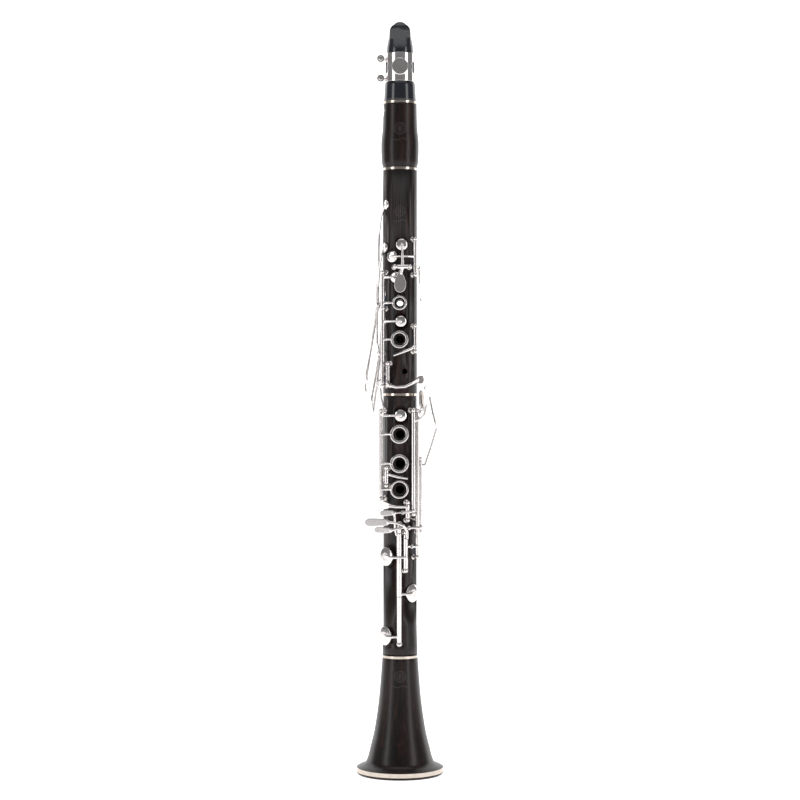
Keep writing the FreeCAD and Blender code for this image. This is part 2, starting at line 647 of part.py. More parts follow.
# ---------------------------------------------------------------- lower joint keys
def lower_ring_key():
    hinge = LOWER_HINGES["lower_ring_key"]
    solids = [PAD_TOP.cup()] + cup_arm(hinge, PAD_TOP)
    for ring in RH_RINGS:
        solids += [ring.ring(0)] + ring_arm(hinge, ring)
    hub_radius = LOWER_RADIUS + 5.3
    joint = UPPER_FOOT
    tail = [polar(hub_radius, -57, low(219.5)), polar(hub_radius + 0.2, -45.5, low(221.8)),
            polar(hub_radius + 0.2, -45.5, low(227.5)), polar(hub_radius + 0.4, -53, joint - 5),
            polar(hub_radius + 0.5, -57, joint + 4.2)]
    solids += limb(tail, [1.2, 1.0, 1.0, 1.0, 0.85])
    return make_key(hinge, solids, [PAD_TOP.pad()])


def b_natural_sliver_key():
    hinge = LOWER_HINGES["b_natural_sliver_key"]
    level = LOWER_RADIUS + LOW_HINGE_HEIGHT
    blade = [polar(level, -39, low(166.4)), polar(level + 0.2, -27, low(165.3)),
             polar(level, -5, low(163.4)), polar(level - 0.3, 19, low(162.1))]
    solids = limb(blade, [1.4, 1.25, 1.2, 1.0])
    under = [polar(level, -39, low(163)), polar(LOWER_RADIUS + 1.3, -50, low(163)),
             polar(LOWER_RADIUS + 1.2, -64, low(163)), PAD_SLIVER.crown()]
    solids += [PAD_SLIVER.cup()] + limb(under, [1.2, 0.75, 0.75, 1.1])
    return make_key(hinge, solids, [PAD_SLIVER.pad()])


def a_flat_key():
    hinge = LOWER_HINGES["a_flat_key"]
    level = LOWER_RADIUS + HINGE_HEIGHT
    stem = [polar(level, 20, low(136.8)), polar(level + 3.4, 12, low(136.4)), polar(level + 4.0, -6, low(136.5)),
            polar(level + 3.6, -22, low(137.4))]
    touch = plate(polar(level + 3.4, -19, low(137.4)), polar(level + 12.6, -66, low(139.2)),
                  [2.2, 3.5, 4.1, 4.3, 3.6], outward(-26), 1.7)
    under = [polar(level, 20, low(128.0)), polar(LOWER_RADIUS + 1.6, 31, low(126.0)),
             polar(LOWER_RADIUS + 0.95, 48, low(124.6)), polar(LOWER_RADIUS + 0.95, 66, low(124.3)),
             PAD_A_FLAT.crown()]
    solids = limb(stem, [1.4, 1.25, 1.25, 1.6]) + limb(under, [1.2, 0.65, 0.65, 0.65, 1.2])
    return make_key(hinge, solids + [touch, PAD_A_FLAT.cup()], [PAD_A_FLAT.pad()])


def eye(point, direction, radius=EYE_RADIUS, thickness=1.4):
    return rod(point - direction * (thickness / 2), point + direction * (thickness / 2), radius)


def eye_hole(point, direction):
    across = UP.cross(direction) * EYE_SLOT
    ends = [rod(point + shift - direction * 3, point + shift + direction * 3, PIN_HOLE_RADIUS)
            for shift in (across, across * 0, across * -1)]
    return join(ends)


F_EYE = polar(LOWER_RADIUS + HINGE_HEIGHT + 0.5, 31.5, low(100.3))
E_EYE = polar(LOWER_RADIUS + HINGE_HEIGHT + 0.9, 24.0, low(117.3))
F_SHARP_EYE = polar(LOWER_RADIUS + HINGE_HEIGHT + 1.6, 7.0, low(131.6))


def f_key():
    """Low F: crosses over the other column from its own, on the right."""
    hinge = LOWER_HINGES["f_key"]
    level = LOWER_RADIUS + HINGE_HEIGHT
    stem = [polar(level, F_COLUMN_ANGLE, low(107)), polar(level + 4.3, 14.5, low(108.8)),
            polar(level + 4.3, 14, low(114.5)), polar(level + 4.5, 6, low(119.8)),
            polar(level + 4.5, -10, low(122.2)), polar(level + 4.2, -26, low(122.8))]
    touch = plate(polar(level + 4.2, -22, low(122.8)), polar(level + 14.2, -67, low(122.2)),
                  [2.4, 3.3, 3.7, 3.8, 3.2], outward(-30), 1.7)
    height = PAD_F.origin.z
    arm = [polar(level, F_COLUMN_ANGLE, height), polar(level + 3.9, 7, height), polar(level + 4.0, -9, height),
           polar(level + 1.0, -28, height), PAD_F.crown()]
    finger = [polar(level, F_COLUMN_ANGLE, low(100.3)), F_EYE]
    solids = limb(stem, [1.4, 1.3, 1.25, 1.2, 1.2, 1.5]) + limb(arm, [1.4, 1.15, 1.1, 1.15, 1.4])
    solids += limb(finger, [1.2, 0.8]) + [eye(F_EYE, outward(31.5)), touch, PAD_F.cup()]
    return make_key(hinge, solids, [PAD_F.pad()], [eye_hole(F_EYE, outward(31.5))])


F_SHARP_TUBE = (low(55.0), low(112.5))
F_SHARP_TUBE_RADIUS = 2.2


def column_line(height):
    return polar(LOWER_RADIUS + HINGE_HEIGHT, COLUMN_ANGLE, height)


def f_sharp_key():
    """F sharp: an outer tube that turns on the E key's tube."""
    level = LOWER_RADIUS + HINGE_HEIGHT
    bottom, top = F_SHARP_TUBE
    tube = rod(column_line(bottom), column_line(top), F_SHARP_TUBE_RADIUS)
    stem = [polar(level, COLUMN_ANGLE, low(109.8)), polar(level + 0.4, -9, low(111.0)),
            polar(level + 0.9, -12.5, low(116)), polar(level + 1.2, -12.5, low(126)),
            polar(level + 2.6, -13.5, low(130.5))]
    touch = plate(polar(level + 2.6, -10.5, low(131.4)), polar(level + 5.4, -46, low(130.4)),
                  [1.8, 2.4, 2.6, 2.6, 2.2], outward(-22), 1.6)
    finger = [polar(level + 2.4, -12, low(131)), F_SHARP_EYE]
    height = PAD_F_SHARP.origin.z
    arm = [polar(level, COLUMN_ANGLE, height), polar(level + 0.8, 14, height), polar(level - 0.6, 33, height),
           PAD_F_SHARP.crown()]
    solids = [tube] + limb(stem, [1.2, 0.95, 0.95, 0.95, 1.4]) + limb(finger, [0.9, 0.8])
    solids += limb(arm, [1.4, 1.2, 1.15, 1.4])
    solids += [eye(F_SHARP_EYE, outward(7)), touch, PAD_F_SHARP.cup()]
    body = join(solids).cut(rod(column_line(low(11)), column_line(low(121)), INNER_TUBE_RADIUS + NEST_CLEARANCE))
    pad = PAD_F_SHARP.pad()
    return body.cut(eye_hole(F_SHARP_EYE, outward(7))).cut(pad), [pad]


def e_key():
    """Low E: a long inner tube that comes out above and below the F sharp key's tube."""
    hinge = LOWER_HINGES["e_key"]
    level = LOWER_RADIUS + HINGE_HEIGHT
    bottom, top = hinge.start.z + POST_FLAT + END_PLAY, hinge.end.z - POST_FLAT - END_PLAY
    below, above = F_SHARP_TUBE[0] - END_PLAY, F_SHARP_TUBE[1] + END_PLAY
    tubes = [rod(column_line(bottom), column_line(top), INNER_TUBE_RADIUS),
             rod(column_line(bottom), column_line(below), TUBE_RADIUS),
             rod(column_line(above), column_line(top), TUBE_RADIUS)]
    stem = [polar(level, COLUMN_ANGLE, low(116.9)), polar(level + 3.3, -4, low(116.9)),
            polar(level + 3.7, -12, low(116.2)), polar(level + 3.6, -20, low(115.5))]
    touch = plate(polar(level + 3.5, -16, low(115.4)), polar(level + 8.6, -54, low(115.6)),
                  [1.9, 2.5, 2.8, 2.8, 2.3], outward(-26), 1.6)
    height = PAD_E.origin.z
    arm = [polar(level, COLUMN_ANGLE, height), polar(level + 1.0, -17, height), polar(level - 0.6, -38, height),
           PAD_E.crown()]
    finger = [polar(level, COLUMN_ANGLE, low(117.3)), polar(level + 0.5, 11, low(117.3)), E_EYE]
    solids = tubes + limb(stem, [1.3, 1.15, 1.15, 1.5]) + limb(arm, [1.4, 1.2, 1.15, 1.4])
    solids += limb(finger, [1.1, 0.9, 0.8]) + [eye(E_EYE, outward(24)), touch, PAD_E.cup()]
    body = join(solids).cut(hinge.bore())
    pad = PAD_E.pad()
    return body.cut(eye_hole(E_EYE, outward(24))).cut(pad), [pad]


# ---------------------------------------------------------------- left-hand little-finger levers
PIN_LIFT = 2.6                  # the lever's end stands this far over the eye it drives


def lever_end(eye_point, angle, depth=3.0):
    """The pin that drops through the eye of the key that the lever drives."""
    over = eye_point + outward(angle) * PIN_LIFT
    return over, rod(over, over - outward(angle) * (depth + 0.4), PIN_RADIUS)


def left_f_sharp_lever():
    hinge = LOWER_HINGES["left_f_sharp_lever"]
    level = LOWER_RADIUS + LEVER_LIFT
    over, pin = lever_end(F_SHARP_EYE, 7)
    arm = [polar(level, 36, low(133.5)), polar(level + 3.4, 32, low(133.0)), polar(level + 4.2, 20, low(131.9)),
           over]
    touch_stem = [polar(level, 36, low(214)), polar(level + 4.6, 44, low(216)),
                  polar(level + 5.8, 56, low(220)), polar(level + 6.6, 62, low(229))]
    touch = plate(polar(level + 6.6, 62, low(227)), polar(level + 5.6, 63, low(246.5)),
                  [2.2, 3.0, 3.2, 2.8], outward(62), 1.6)
    solids = limb(arm, [1.3, 1.1, 1.05, 0.95]) + limb(touch_stem, [1.3, 1.1, 1.1, 1.3]) + [pin, touch]
    return make_key(hinge, solids)


def left_f_lever():
    hinge = LOWER_HINGES["left_f_lever"]
    level = LOWER_RADIUS + LEVER_LIFT
    over, pin = lever_end(F_EYE, 31.5)
    arm = [polar(level, 49.5, low(100.3)), polar(level + 2.6, 42, low(100.3)), over]
    touch_stem = [polar(level, 49.5, low(219.5)), polar(level + 2.6, 53, low(222)),
                  polar(level + 3.2, 57, low(226))]
    touch = plate(polar(level + 3.2, 57, low(223)), polar(level + 1.4, 60, low(242.5)),
                  [2.2, 3.0, 3.2, 2.6], outward(57), 1.6)
    solids = limb(arm, [1.3, 1.1, 1.0]) + limb(touch_stem, [1.3, 1.1, 1.3]) + [pin, touch]
    return make_key(hinge, solids)


def left_e_lever():
    hinge = LOWER_HINGES["left_e_lever"]
    level = LOWER_RADIUS + LEVER_LIFT
    over, pin = lever_end(E_EYE, 24)
    arm = [polar(level, 63, low(118.4)), polar(level + 3.8, 57, low(117.8)), polar(level + 4.3, 40, low(117.3)),
           over]
    touch_stem = [polar(level, 63, low(174)), polar(level + 4.6, 66, low(174.5)), polar(level + 8.6, 74, low(190)),
                  polar(level + 13.4, 79, low(208))]
    touch = plate(polar(level + 14.0, 79, low(206)), polar(level + 6.4, 84, low(237)),
                  [2.4, 3.3, 3.7, 3.5, 2.7], outward(78), 1.7)
    solids = limb(arm, [1.3, 1.1, 1.05, 0.95]) + limb(touch_stem, [1.4, 1.15, 1.2, 1.3]) + [pin, touch]
    return make_key(hinge, solids)


# ---------------------------------------------------------------- wood, rings and corks
def cork_sleeve(top, length, direction):
    """Cork glued in its groove on a tenon that runs from `top` (its shoulder) along direction."""
    near = top + direction * CORK_MARGIN
    far = top + direction * (length - CORK_MARGIN)
    low_z, high_z = min(near, far), max(near, far)
    outer = rod(UP * low_z, UP * high_z, TENON_RADIUS)
    return outer.cut(rod(UP * low_z, UP * high_z, TENON_RADIUS - CORK_DEPTH))


def bored(solid, start, end, radius=BORE_RADIUS):
    return solid.cut(rod(UP * (start - 1), UP * (end + 1), radius))


def socket(floor, mouth):
    """The hollow that takes a tenon."""
    return rod(UP * floor, UP * mouth, TENON_RADIUS + SOCKET_CLEARANCE)


def end_ring(body_radius, low_z, high_z):
    """A metal ring shrunk onto a socket's end."""
    outer = rod(UP * low_z, UP * high_z, body_radius + RING_PROUD)
    return outer.cut(rod(UP * low_z, UP * high_z, body_radius - RING_DEPTH))


def ring_groove(body_radius, low_z, high_z):
    outer = rod(UP * low_z, UP * high_z, body_radius + 2)
    return outer.cut(rod(UP * low_z, UP * high_z, body_radius - RING_DEPTH))


RIM_RING_LOW = 2.3
RIM_RING_HIGH = 6.1
RIM_RING_DEPTH = 1.6
MOUTH_RADIUS = 34.0             # the plain lip inside the bell's foot
MOUTH_DEPTH = 3.0
BELL_TOP_RADIUS = 16.2


def bell_outline():
    """The bell's outside from the foot to the socket, as (radius, height)."""
    flare = [(31.4, 10.1), (29.3, 15.6), (27.2, 23.9), (24.4, 35.0), (21.9, 48.8), (19.6, 65.3),
             (17.8, 84.6), (BELL_TOP_RADIUS, 106.7)]
    scale = BELL_RIM_RADIUS / 40.0
    waist = BELL_TOP_RADIUS
    stretch = BELL_LENGTH / 108.5
    points = [(waist + (r - waist) * scale, z * stretch) for r, z in flare[:-1]]
    return points + [(waist, BELL_LENGTH - 2.0)]


def bell():
    rim = BELL_RIM_RADIUS
    flare = bell_outline()
    curve = Part.BSplineCurve()
    curve.interpolate([V(r, 0, z) for r, z in flare])
    foot = [V(rim - 1.4, 0, 0), V(rim - 0.4, 0, 1.2), V(rim - 0.4, 0, RIM_RING_HIGH), V(rim - 3.2, 0, 7.6),
            V(flare[0][0], 0, flare[0][1])]
    edges = [Part.makeLine(a, b) for a, b in zip(foot, foot[1:])]
    edges.append(curve.toShape())
    top = V(flare[-1][0], 0, flare[-1][1])
    mouth = V(BELL_TOP_RADIUS, 0, BELL_LENGTH)
    socket_floor = BELL_LENGTH - TENON_LENGTH - SOCKET_SPARE
    hollow = [(BELL_TOP_RADIUS, BELL_LENGTH), (BORE_RADIUS, BELL_LENGTH), (BORE_RADIUS, socket_floor - 8)]
    inside = [(r - BELL_WALL, z) for r, z in reversed(flare[:5])]
    inside[0] = (inside[0][0], inside[0][1])
    inside += [(MOUTH_RADIUS - 6.2, 7.0), (MOUTH_RADIUS, MOUTH_DEPTH), (MOUTH_RADIUS, 0)]
    points = [top, mouth] + [V(r, 0, z) for r, z in hollow[1:] + inside] + [foot[0]]
    edges += [Part.makeLine(a, b) for a, b in zip(points, points[1:])]
    body = Part.Face(Part.Wire(edges)).revolve(V(0, 0, 0), UP, 360)
    body = body.cut(socket(socket_floor, BELL_LENGTH + 1))
    body = body.cut(ring_groove(BELL_TOP_RADIUS, BELL_LENGTH - RING_HEIGHT, BELL_LENGTH + 1))
    groove = rod(UP * RIM_RING_LOW, UP * RIM_RING_HIGH, rim + 2)
    return body.cut(groove.cut(rod(UP * RIM_RING_LOW, UP * RIM_RING_HIGH, rim - RIM_RING_DEPTH)))


def bell_rings():
    top = end_ring(BELL_TOP_RADIUS, BELL_LENGTH - RING_HEIGHT, BELL_LENGTH)
    rim = rod(UP * RIM_RING_LOW, UP * RIM_RING_HIGH, BELL_RIM_RADIUS)
    rim = rim.cut(rod(UP * RIM_RING_LOW, UP * RIM_RING_HIGH, BELL_RIM_RADIUS - RIM_RING_DEPTH))
    return [top, rim]


def tenon(shoulder, length, direction):
    """A tenon with the groove for its cork."""
    end = shoulder + direction * length
    low_z, high_z = min(shoulder, end), max(shoulder, end)
    solid = rod(UP * low_z, UP * high_z, TENON_RADIUS - 0.25)
    near = shoulder + direction * CORK_MARGIN
    far = shoulder + direction * (length - CORK_MARGIN)
    low_z, high_z = min(near, far), max(near, far)
    groove = rod(UP * low_z, UP * high_z, TENON_RADIUS + 1)
    return solid.cut(groove.cut(rod(UP * low_z, UP * high_z, TENON_RADIUS - CORK_DEPTH)))


def drill(body, pad_sites, ring_sites, hinges, extra_posts):
    """Cut every tone hole and post hole, and add the chimneys."""
    for ring, angle in ring_sites:
        body = body.fuse(ring.chimney(angle))
    cutters = []
    for ring, angle in ring_sites:
        cutters.append(ring.hole(angle))
    for site in pad_sites:
        cutters += site.recess()
    for hinge in hinges:
        for point in (hinge.start, hinge.end):
            cutters += post_socket(point, hinge)
    cutters += extra_posts
    for cutter in cutters:
        body = body.cut(cutter)
    return body


def lower_joint():
    swell = 14.0
    profile = [(0, LOWER_FOOT), (LOWER_FOOT_RADIUS, LOWER_FOOT), (LOWER_FOOT_RADIUS, LOWER_FOOT + swell / 2),
               (LOWER_RADIUS, LOWER_FOOT + 2 * swell), (LOWER_RADIUS, UPPER_FOOT), (0, UPPER_FOOT)]
    body = turned(profile).fuse(tenon(LOWER_FOOT, TENON_LENGTH, -1))
    rings = [(ring, 0) for ring in RH_RINGS]
    pads = [PAD_TOP, PAD_SLIVER, PAD_A_FLAT, PAD_F, PAD_F_SHARP, PAD_E]
    body = drill(body, pads, rings, list(LOWER_HINGES.values()), thumb_rest_holes())
    body = bored(body, LOWER_FOOT - TENON_LENGTH, UPPER_FOOT)
    body = body.cut(socket(UPPER_FOOT - TENON_LENGTH - SOCKET_SPARE, UPPER_FOOT + 1))
    return body.cut(ring_groove(LOWER_RADIUS, UPPER_FOOT - RING_HEIGHT, UPPER_FOOT + 1))


def upper_joint():
    body = rod(UP * UPPER_FOOT, UP * BARREL_FOOT, UPPER_RADIUS)
    body = body.fuse(tenon(UPPER_FOOT, TENON_LENGTH, -1)).fuse(tenon(BARREL_FOOT, TENON_LENGTH, 1))
    rings = [(RING_ONE, 0), (RING_TWO, 0), (THUMB_RING, 180)]
    pads = [PAD_FIRST, PAD_SECOND, PAD_A, PAD_G_SHARP, PAD_E_FLAT, PAD_C_SHARP, PAD_REGISTER] + SIDE_PADS
    third = rod(UP * THIRD_HOLE_HEIGHT, polar(20, THIRD_HOLE_ANGLE, THIRD_HOLE_HEIGHT), THIRD_HOLE_RADIUS)
    side_holes = [cut for hinge in SIDE_HINGES for cut in side_post_sockets(hinge)]
    body = drill(body, pads, rings, list(UPPER_HINGES.values()), [third] + side_holes)
    return bored(body, UPPER_FOOT - TENON_LENGTH, BARREL_FOOT + TENON_LENGTH)


def barrel_profile():
    """The barrel's outside as (radius, height): full in the middle, waisted at both ends."""
    end, belly = BARREL_END_RADIUS, BARREL_BELLY_RADIUS
    spread = belly - end
    shares = [(0.1, 0.0), (0.16, 0.045), (0.68, 0.105), (0.9, 0.18), (1.0, 0.28), (1.0, 0.4),
              (0.84, 0.47), (0.5, 0.56), (0.22, 0.7), (0.1, 0.85), (0.0, 1.0)]
    return [(end + spread * a, BARREL_FOOT + BARREL_LENGTH * b) for a, b in shares]


def barrel():
    outline = barrel_profile()
    body = smooth_turned(outline, [(0, outline[-1][1]), (0, outline[0][1])])
    body = bored(body, BARREL_FOOT, MOUTHPIECE_FOOT)
    body = body.cut(socket(BARREL_FOOT - 1, BARREL_FOOT + TENON_LENGTH + SOCKET_SPARE))
    body = body.cut(socket(MOUTHPIECE_FOOT - MOUTHPIECE_TENON_LENGTH - SOCKET_SPARE, MOUTHPIECE_FOOT + 1))
    foot_ring = ring_groove(outline[0][0], BARREL_FOOT - 1, BARREL_FOOT + RING_HEIGHT)
    top_ring = ring_groove(outline[-1][0], MOUTHPIECE_FOOT - RING_HEIGHT, MOUTHPIECE_FOOT + 1)
    return body.cut(foot_ring).cut(top_ring)


def barrel_rings():
    outline = barrel_profile()
    return [end_ring(outline[0][0], BARREL_FOOT, BARREL_FOOT + RING_HEIGHT),
            end_ring(outline[-1][0], MOUTHPIECE_FOOT - RING_HEIGHT, MOUTHPIECE_FOOT)]


# ---------------------------------------------------------------- mouthpiece, reed and ligature
TABLE_LEVEL = 7.6               # the flat that the reed lies on
BEAK_TIP_LEVEL = 6.3
BEAK_LENGTH = 27.6
BEAK_FOOT_LEVEL = -12.3
WINDOW_WIDTH = 11.0
WINDOW_LENGTH = 30.0
REED_WIDTH = 12.8
REED_HEEL = 3.0
REED_TIP = 0.5
REED_LENGTH = 67.0
REED_CUT_LENGTH = 33.0
LIGATURE_LOW = MOUTHPIECE_FOOT + 18.0
LIGATURE_HEIGHT = 26.0
LIGATURE_RADIUS = 13.3
LIGATURE_FOOT_DEPTH = TIP - LIGATURE_LOW + 0.4
LIGATURE_WALL = 0.7


def mouthpiece_profile():
    """Radius of the mouthpiece at distances below its tip."""
    below_tip = [(6.5, 0), (7.1, 2.5), (8.2, 4.3), (9.0, 6.1), (9.35, 8.0), (9.7, 11.7), (10.05, 15.4),
                 (11.0, 19.0), (11.7, 22.7), (12.1, 26.4), (12.3, 30.0), (12.4, LIGATURE_FOOT_DEPTH),
                 (13.8, LIGATURE_FOOT_DEPTH + 0.9), (14.1, LIGATURE_FOOT_DEPTH + 6), (14.75, MOUTHPIECE_LENGTH)]
    return [(r, TIP - depth) for r, depth in reversed(below_tip)]


def beak_level(height):
    """The beak's slope: how far back its face lies at a height."""
    share = (TIP - height) / BEAK_LENGTH
    return BEAK_TIP_LEVEL + (BEAK_FOOT_LEVEL - BEAK_TIP_LEVEL) * share


def slab(points, half_width):
    """A prism across the body from (y, z) points."""
    wire = Part.makePolygon([V(-half_width, y, z) for y, z in points + points[:1]])
    return Part.Face(wire).extrude(V(2 * half_width, 0, 0))


def mouthpiece():
    outline = mouthpiece_profile()
    body = turned([(0, outline[0][1])] + outline + [(0, TIP)])
    body = body.fuse(tenon(MOUTHPIECE_FOOT, MOUTHPIECE_TENON_LENGTH, -1))
    foot = TIP - BEAK_LENGTH - 8
    body = body.cut(slab([(beak_level(TIP + 2), TIP + 2), (beak_level(foot), foot), (-40, foot), (-40, TIP + 2)], 30))
    table_foot = TIP - REED_LENGTH - 2
    body = body.cut(slab([(TABLE_LEVEL, TIP + 2), (TABLE_LEVEL, table_foot), (30, table_foot), (30, TIP + 2)], 30))
    window_foot = TIP - WINDOW_LENGTH
    body = body.cut(rod(UP * (MOUTHPIECE_FOOT - MOUTHPIECE_TENON_LENGTH - 1), UP * (window_foot - 4), BORE_RADIUS))
    roof = 1.8
    chamber = [(TABLE_LEVEL + 1, TIP - 1.6), (beak_level(TIP - 1.6) + roof, TIP - 1.6),
               (beak_level(window_foot + 10) + roof, window_foot + 10), (-BORE_RADIUS + 1.5, window_foot - 6),
               (BORE_RADIUS - 2.0, window_foot - 6), (TABLE_LEVEL + 1, window_foot)]
    return body.cut(slab(chamber, WINDOW_WIDTH / 2))


def reed():
    tip, heel = TIP - 0.3, TIP - REED_LENGTH
    face = TABLE_LEVEL
    shape = slab([(face, heel), (face, tip), (face + REED_TIP, tip), (face + REED_HEEL, tip - REED_CUT_LENGTH),
                  (face + REED_HEEL, heel)], REED_WIDTH / 2)
    back = face + REED_HEEL
    radius = REED_WIDTH * 0.95
    crown = rod(V(0, back - radius, heel - 1), V(0, back - radius, tip + 1), radius)
    arch_radius = REED_WIDTH / 2
    arch_z = tip - arch_radius + 0.8
    keep = rod(V(0, face - 1, arch_z), V(0, back + 1, arch_z), arch_radius)
    keep = keep.fuse(slab([(face - 1, heel - 1), (face - 1, arch_z), (back + 1, arch_z), (back + 1, heel - 1)],
                          arch_radius))
    return shape.common(crown).common(keep)


LIGATURE_SCREW_HEIGHTS = [LIGATURE_LOW + 3.6, LIGATURE_LOW + LIGATURE_HEIGHT - 4.4]
LUG_LEVEL = 4.2                 # how far behind the middle the screws cross
SCREW_RADIUS = 1.1
SCREW_HEAD_RADIUS = 3.4
SCREW_LINE = -LIGATURE_RADIUS - 4.4
SCREW_CLEARANCE = 0.05
REED_BAR_GAP = 0.05


def ligature():
    """A sheet-metal band with two lugs on the left, open windows at its sides and a plate at the front."""
    low_z, high_z = LIGATURE_LOW, LIGATURE_LOW + LIGATURE_HEIGHT
    band = rod(UP * low_z, UP * high_z, LIGATURE_RADIUS).cut(rod(UP * low_z, UP * high_z, LIGATURE_RADIUS - LIGATURE_WALL))
    middle = (low_z + high_z) / 2
    for angle in (-72, 72):
        window = rod(polar(6, angle, middle), polar(20, angle, middle), 5.2)
        band = band.cut(window)
    badge = rod(polar(LIGATURE_RADIUS - 0.4, 0, middle), polar(LIGATURE_RADIUS + 0.55, 0, middle), 7.4)
    inside = rod(UP * low_z, UP * high_z, LIGATURE_RADIUS - LIGATURE_WALL)
    pieces = [band, badge.cut(inside)]
    back = TABLE_LEVEL + REED_HEEL + REED_BAR_GAP
    for x in (-3.4, 3.4):
        rail = rod(V(x, back + 1.0, low_z + 1), V(x, back + 1.0, high_z - 1), 1.0)
        web = slab([(back + 0.9, low_z + 1), (LIGATURE_RADIUS - 0.1, low_z + 1), (LIGATURE_RADIUS - 0.1, high_z - 1),
                    (back + 0.9, high_z - 1)], 0.5)
        web.translate(V(x, 0, 0))
        pieces += [rail, web]
    for height in LIGATURE_SCREW_HEIGHTS:
        for side in (-1, 1):
            centre = V(SCREW_LINE, LUG_LEVEL + side * 2.6, height)
            lug = rod(centre - V(0, 1.0, 0), centre + V(0, 1.0, 0), 2.3)
            foot = rod(centre, centre + V(6.6, 0, 0), 1.0)
            pieces += [lug, foot]
    body = join(pieces)
    slit = slab([(LUG_LEVEL - 1.4, low_z - 1), (LUG_LEVEL + 1.4, low_z - 1), (LUG_LEVEL + 1.4, high_z + 1),
                 (LUG_LEVEL - 1.4, high_z + 1)], 5)
    slit.translate(V(-LIGATURE_RADIUS, 0, 0))
    body = body.cut(slit).cut(rod(UP * (low_z - 1), UP * (high_z + 1), 12.42))
    for height in LIGATURE_SCREW_HEIGHTS:
        line = V(SCREW_LINE, 0, height)
        body = body.cut(rod(line + V(0, -3, 0), line + V(0, 12, 0), SCREW_RADIUS + SCREW_CLEARANCE))
    return body


def ligature_screw(index):
    """A thumb screw through both lugs, with a flat round head at the front."""
    height = LIGATURE_SCREW_HEIGHTS[index]
    line = V(SCREW_LINE, 0, height)
    shank = rod(line + V(0, LUG_LEVEL - 6.4, 0), line + V(0, LUG_LEVEL + 4.2, 0), SCREW_RADIUS)
    head = rod(line + V(0, LUG_LEVEL - 8.6, 0), line + V(0, LUG_LEVEL - 3.7, 0), 1.7)
    centre = line + V(0, LUG_LEVEL - 6.6, 0)
    paddle = rod(centre + V(0, -0.8, 0), centre + V(0, 0.8, 0), SCREW_HEAD_RADIUS)
    return join([shank, head, paddle])


# ---------------------------------------------------------------- posts, rods, springs, thumb rest
def side_post(point, hinge):
    """A thin upright plate that carries a cross rod."""
    outwards, across = outward(SIDE_ANGLE), sideways(SIDE_ANGLE)
    side = across * (point.dot(across))
    surface = math.sqrt(UPPER_RADIUS ** 2 - side.Length ** 2)
    foot = side + outwards * (surface - SINK) + UP * point.z
    half = across * (SIDE_POST_THICKNESS / 2)
    blade = rod(point - half, point + half, 2.0)
    low_point = foot - outwards * 2.4
    width = 1.5
    corners = [low_point - UP * width, point - UP * width, point + UP * width, low_point + UP * width]
    corners = [corner - half for corner in corners]
    face = Part.Face(Part.makePolygon(corners + corners[:1]))
    return join([blade, face.extrude(half * 2)])


def side_post_sockets(hinge):
    return [side_post(point, hinge) for point in (hinge.start, hinge.end)]


def is_cross(hinge):
    return abs(hinge.line.z) < 0.5


def posts(hinges, side_hinges, needles):
    """All the pillars of one joint; neighbours on one rod share a pillar."""
    made, places = [], []
    for hinge in hinges:
        for point in (hinge.start, hinge.end):
            if any((point - other).Length < 0.1 for other in places):
                continue
            places.append(point)
            made.append(post(point, hinge).cut(hinge.steel()))
    for hinge in side_hinges:
        for point in (hinge.start, hinge.end):
            made.append(side_post(point, hinge).cut(hinge.steel()))
    for needle in needles:
        made = [solid.cut(needle) if (solid.BoundBox.intersect(needle.BoundBox)) else solid for solid in made]
    return made


def rods(hinges):
    """The steel rods; two keys on one line share one rod."""
    spans = []
    for hinge in hinges:
        for span in spans:
            if (span[1] - hinge.start).Length < 0.1:
                span[1] = hinge.end
                break
            if (span[0] - hinge.end).Length < 0.1:
                span[0] = hinge.start
                break
        else:
            spans.append([hinge.start, hinge.end, hinge])
    made = []
    for start, end, hinge in spans:
        reach = POST_FLAT if not isinstance(hinge, SideHinge) else SIDE_POST_THICKNESS / 2 + 0.4
        made.append(rod(start - hinge.line * reach, end + hinge.line * reach, ROD_RADIUS))
    return made


SPRING_LENGTH = 11.0
SPRING_SHARE = 0.34             # of a short tube's length
SPRING_DROP = 3.1               # under the rod
SPRINGS_FROM_TOP = ("a_flat_key",)
SHORT_SPRINGS = {"second_ring_key": 7.0, "left_e_lever": 7.5}


def springs(names, hinges):
    """Needle springs, each driven into a post and lying along the body under its key's tube."""
    made = []
    for name in names:
        hinge = hinges[name]
        drop = outward(hinge.foot_angle) * -SPRING_DROP
        length = min(SHORT_SPRINGS.get(name, SPRING_LENGTH), SPRING_SHARE * (hinge.end - hinge.start).Length)
        base, line = hinge.start, hinge.line
        if name in SPRINGS_FROM_TOP:
            base, line = hinge.end, hinge.line * -1
        start = base + drop + line * (POST_STEM_RADIUS - 0.2)
        made.append(rod(start, start + line * length, SPRING_RADIUS))
    return made


THUMB_REST_HEIGHT = low(176.0)
THUMB_REST_LENGTH = 30.0
THUMB_REST_WIDTH = 15.0
THUMB_REST_SCREWS = [10.0, -10.0]
THUMB_SCREW_RADIUS = 1.2
STRAP_RING_OUTER = 4.6
STRAP_RING_INNER = 2.9
STRAP_RING_THICKNESS = 2.0
PLATE_LEVEL = LOWER_RADIUS - 0.9


